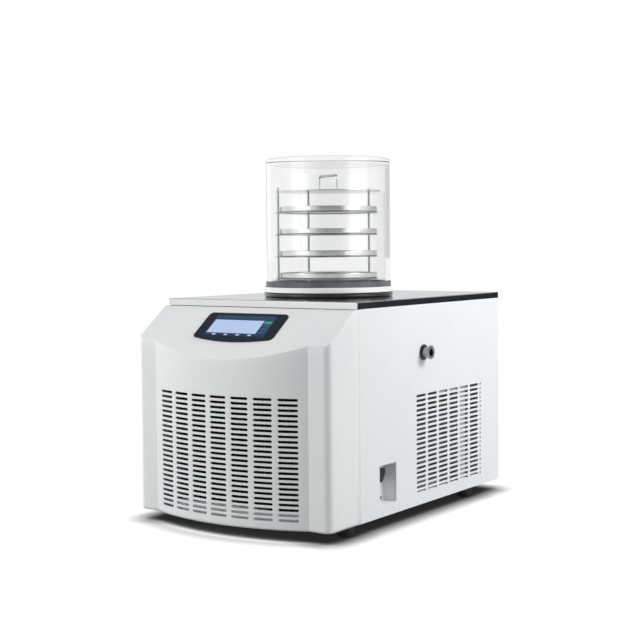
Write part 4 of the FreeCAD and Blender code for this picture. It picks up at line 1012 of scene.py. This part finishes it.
def trays(material):
    """Shallow pressed pans with a rounded foot and a rolled rim."""
    sheet, rim = 0.9, 1.4
    for level in range(1, 5):
        low, high, outer = ring_extent("tray_%d" % level)
        profile = [(0, low, 0), (outer, low, 2.4), (outer, high, 0.65), (outer - rim, high, 0.65),
                   (outer - rim, high - rim, 0), (outer - sheet, high - rim, 0),
                   (outer - sheet, low + sheet, 1.6), (0, low + sheet, 0)]
        turned_node("tray_%d" % level, "tray_pan_%d" % level, profile, material)


def port(materials):
    """The vacuum port's flanged stub and the black ring round its root."""
    centre = at(0, AXIS_Y, PORT_HEIGHT)
    low, high, outer = side_extent("port_ring")
    bore = 10.6
    profile = [(bore, low, 0), (bore, high, 0.6), (outer, high, 1.3), (outer, low, 0.3)]
    turned_node("port_ring", "port_ring_round", profile, materials["rubber"], centre, "x", 96)

    low, high, outer = side_extent("vacuum_port")
    wide_bore, bore, bore_step, root, waist, flange = 9.6, 8, 221.8, 223.8, 10.5, high - 3.5
    profile = [(wide_bore, low, 0), (wide_bore, bore_step, 0), (bore, bore_step, 0), (bore, high, 0.5),
               (outer, high, 0.7), (outer, flange, 1.2), (waist, flange, 0.8), (waist, root, 0),
               (outer, root, 0.3), (outer, low, 0.3)]
    turned_node("vacuum_port", "vacuum_port_round", profile, materials["port"], centre, "x", 96)


def feet_round(material):
    """Four rubber feet with a tapered foot and a rounded edge."""
    low, high = extent("feet")
    radius = 17
    profile = rounded([(0, low.z), (radius - 2, low.z), (radius, -1.0), (radius, -HAIR), (0, -HAIR)],
                      [0, 1.5, 0.8, 0, 0])
    for side, x in (("left", low.x + radius), ("right", high.x - radius)):
        for end, y in (("front", low.y + radius), ("rear", high.y - radius)):
            foot = lathe("foot_%s_%s" % (end, side), profile, at(x, y, 0), segments=64)
            paint(foot, material)
            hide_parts("feet")


def finish_cad(materials):
    """Materials for the CAD nodes that show as they are."""
    finishes = {
        "powder": ("base_pan", "front_post_left", "front_post_right", "trap_shelf", "drain_pocket",
                   "control_box"),
        # The rear posts are white coat darkened to grey: painted shade for where they stand deep inside the
        # cabinet.
        "post_painted_shade": ("rear_post_left", "rear_post_right"),
        "mirror": ("top_plate",),
        "satin": ("trap_can", "rack_base", "rack_top_plate", "rack_handle", "vacuum_pipe", "fan_shaft"),
        # The rack's rods and shelf rings are darkened steel: painted shade for the shadow gap under each
        # tray.
        "shelf": ("rack_rods", "rack_shelf_1", "rack_shelf_2", "rack_shelf_3", "rack_shelf_4"),
        "rubber": ("compressor_grommets",),
        "moulding": ("drain_knob", "display_module", "power_inlet", "power_switch_frame",
                     "power_switch_rocker", "fan_blades"),
        "zinc": ("fan_shroud", "fan_bracket", "compressor_plate"),
        # The condenser's fins are near-black: painted shade for the dark depth behind the front slots.
        "fins": ("condenser",),
        "enamel": ("compressor", "fan_motor"),
        "copper": ("evaporator_coil", "filter_drier", "suction_line", "discharge_line", "liquid_line",
                   "capillary_line"),
        "foam": ("trap_insulation",),
        "brass": ("drain_valve",),
        "hose": ("drain_hose", "outlet_hose"),
        "glass": ("screen_glass",),
    }
    for finish, names in finishes.items():
        for name in names:
            paint(nodes[name], materials[finish])


# ------------------------------------------------------------------ the scene
aim_camera()
studio()
materials = {
    "powder": powder_coat(),
    # A white coat darkened to grey for the rear posts: painted shade.
    "post_painted_shade": powder_coat("grey_post_painted_shade", 0.45),
    "white": moulded_white(),
    "mirror": mirror_steel(),
    "satin": satin_steel(),
    # The flange ring is near-white and mostly non-metallic so diffuse light keeps it bright: a painted
    # reflection.
    "flange": satin_steel("flange_painted_reflection", (0.97, 0.97, 0.96), (0.38, 0.44), 0.15),
    "tray": satin_steel("tray_steel", (0.66, 0.665, 0.67), (0.16, 0.22)),
    # Darkened steel for the rods and shelf rings: painted shade.
    "shelf": satin_steel("shelf_steel_painted_shade", (0.30, 0.305, 0.31), (0.3, 0.4)),
    # The port's steel is darkened: painted shade for the darker reflection on its end face.
    "port": satin_steel("port_steel_painted_shade", (0.36, 0.365, 0.37), (0.24, 0.32)),
    "rubber": rubber(),
    "seal": rubber("seal_rubber", (0.024, 0.024, 0.025), (0.14, 0.2), 1.0),
    # Black rubber darkened further than the other rubber: partly its own colour, partly painted shade under
    # the cabinet.
    "foot": rubber("foot_rubber_painted_shade", (0.008, 0.008, 0.008), (0.6, 0.7)),
    "gasket": rubber("grey_gasket", (0.095, 0.10, 0.115), (0.4, 0.6)),
    "acrylic": acrylic(),
    "moulding": dark_moulding(),
    "zinc": zinc(),
    # Near-black fins: painted shade for the dark inside behind the slots.
    "fins": zinc("fins_painted_shade_black", (0.02, 0.02, 0.024)),
    "enamel": zinc("black_enamel", (0.02, 0.02, 0.022)),
    "copper": copper(),
    "foam": foam(),
    "brass": brass(),
    "hose": hose_rubber(),
    "glass": black_glass(),
}
finish_cad(materials)
seal_ring(materials["seal"])
flange_ring(materials["flange"])
chamber_gasket(materials["gasket"])
chamber_shell(materials["acrylic"])
trays(materials["tray"])
port(materials)
feet_round(materials["foot"])
front_panel(materials["white"])
right_side(materials["powder"])
left_side(materials["powder"])
rear_panel(materials["powder"])
display()
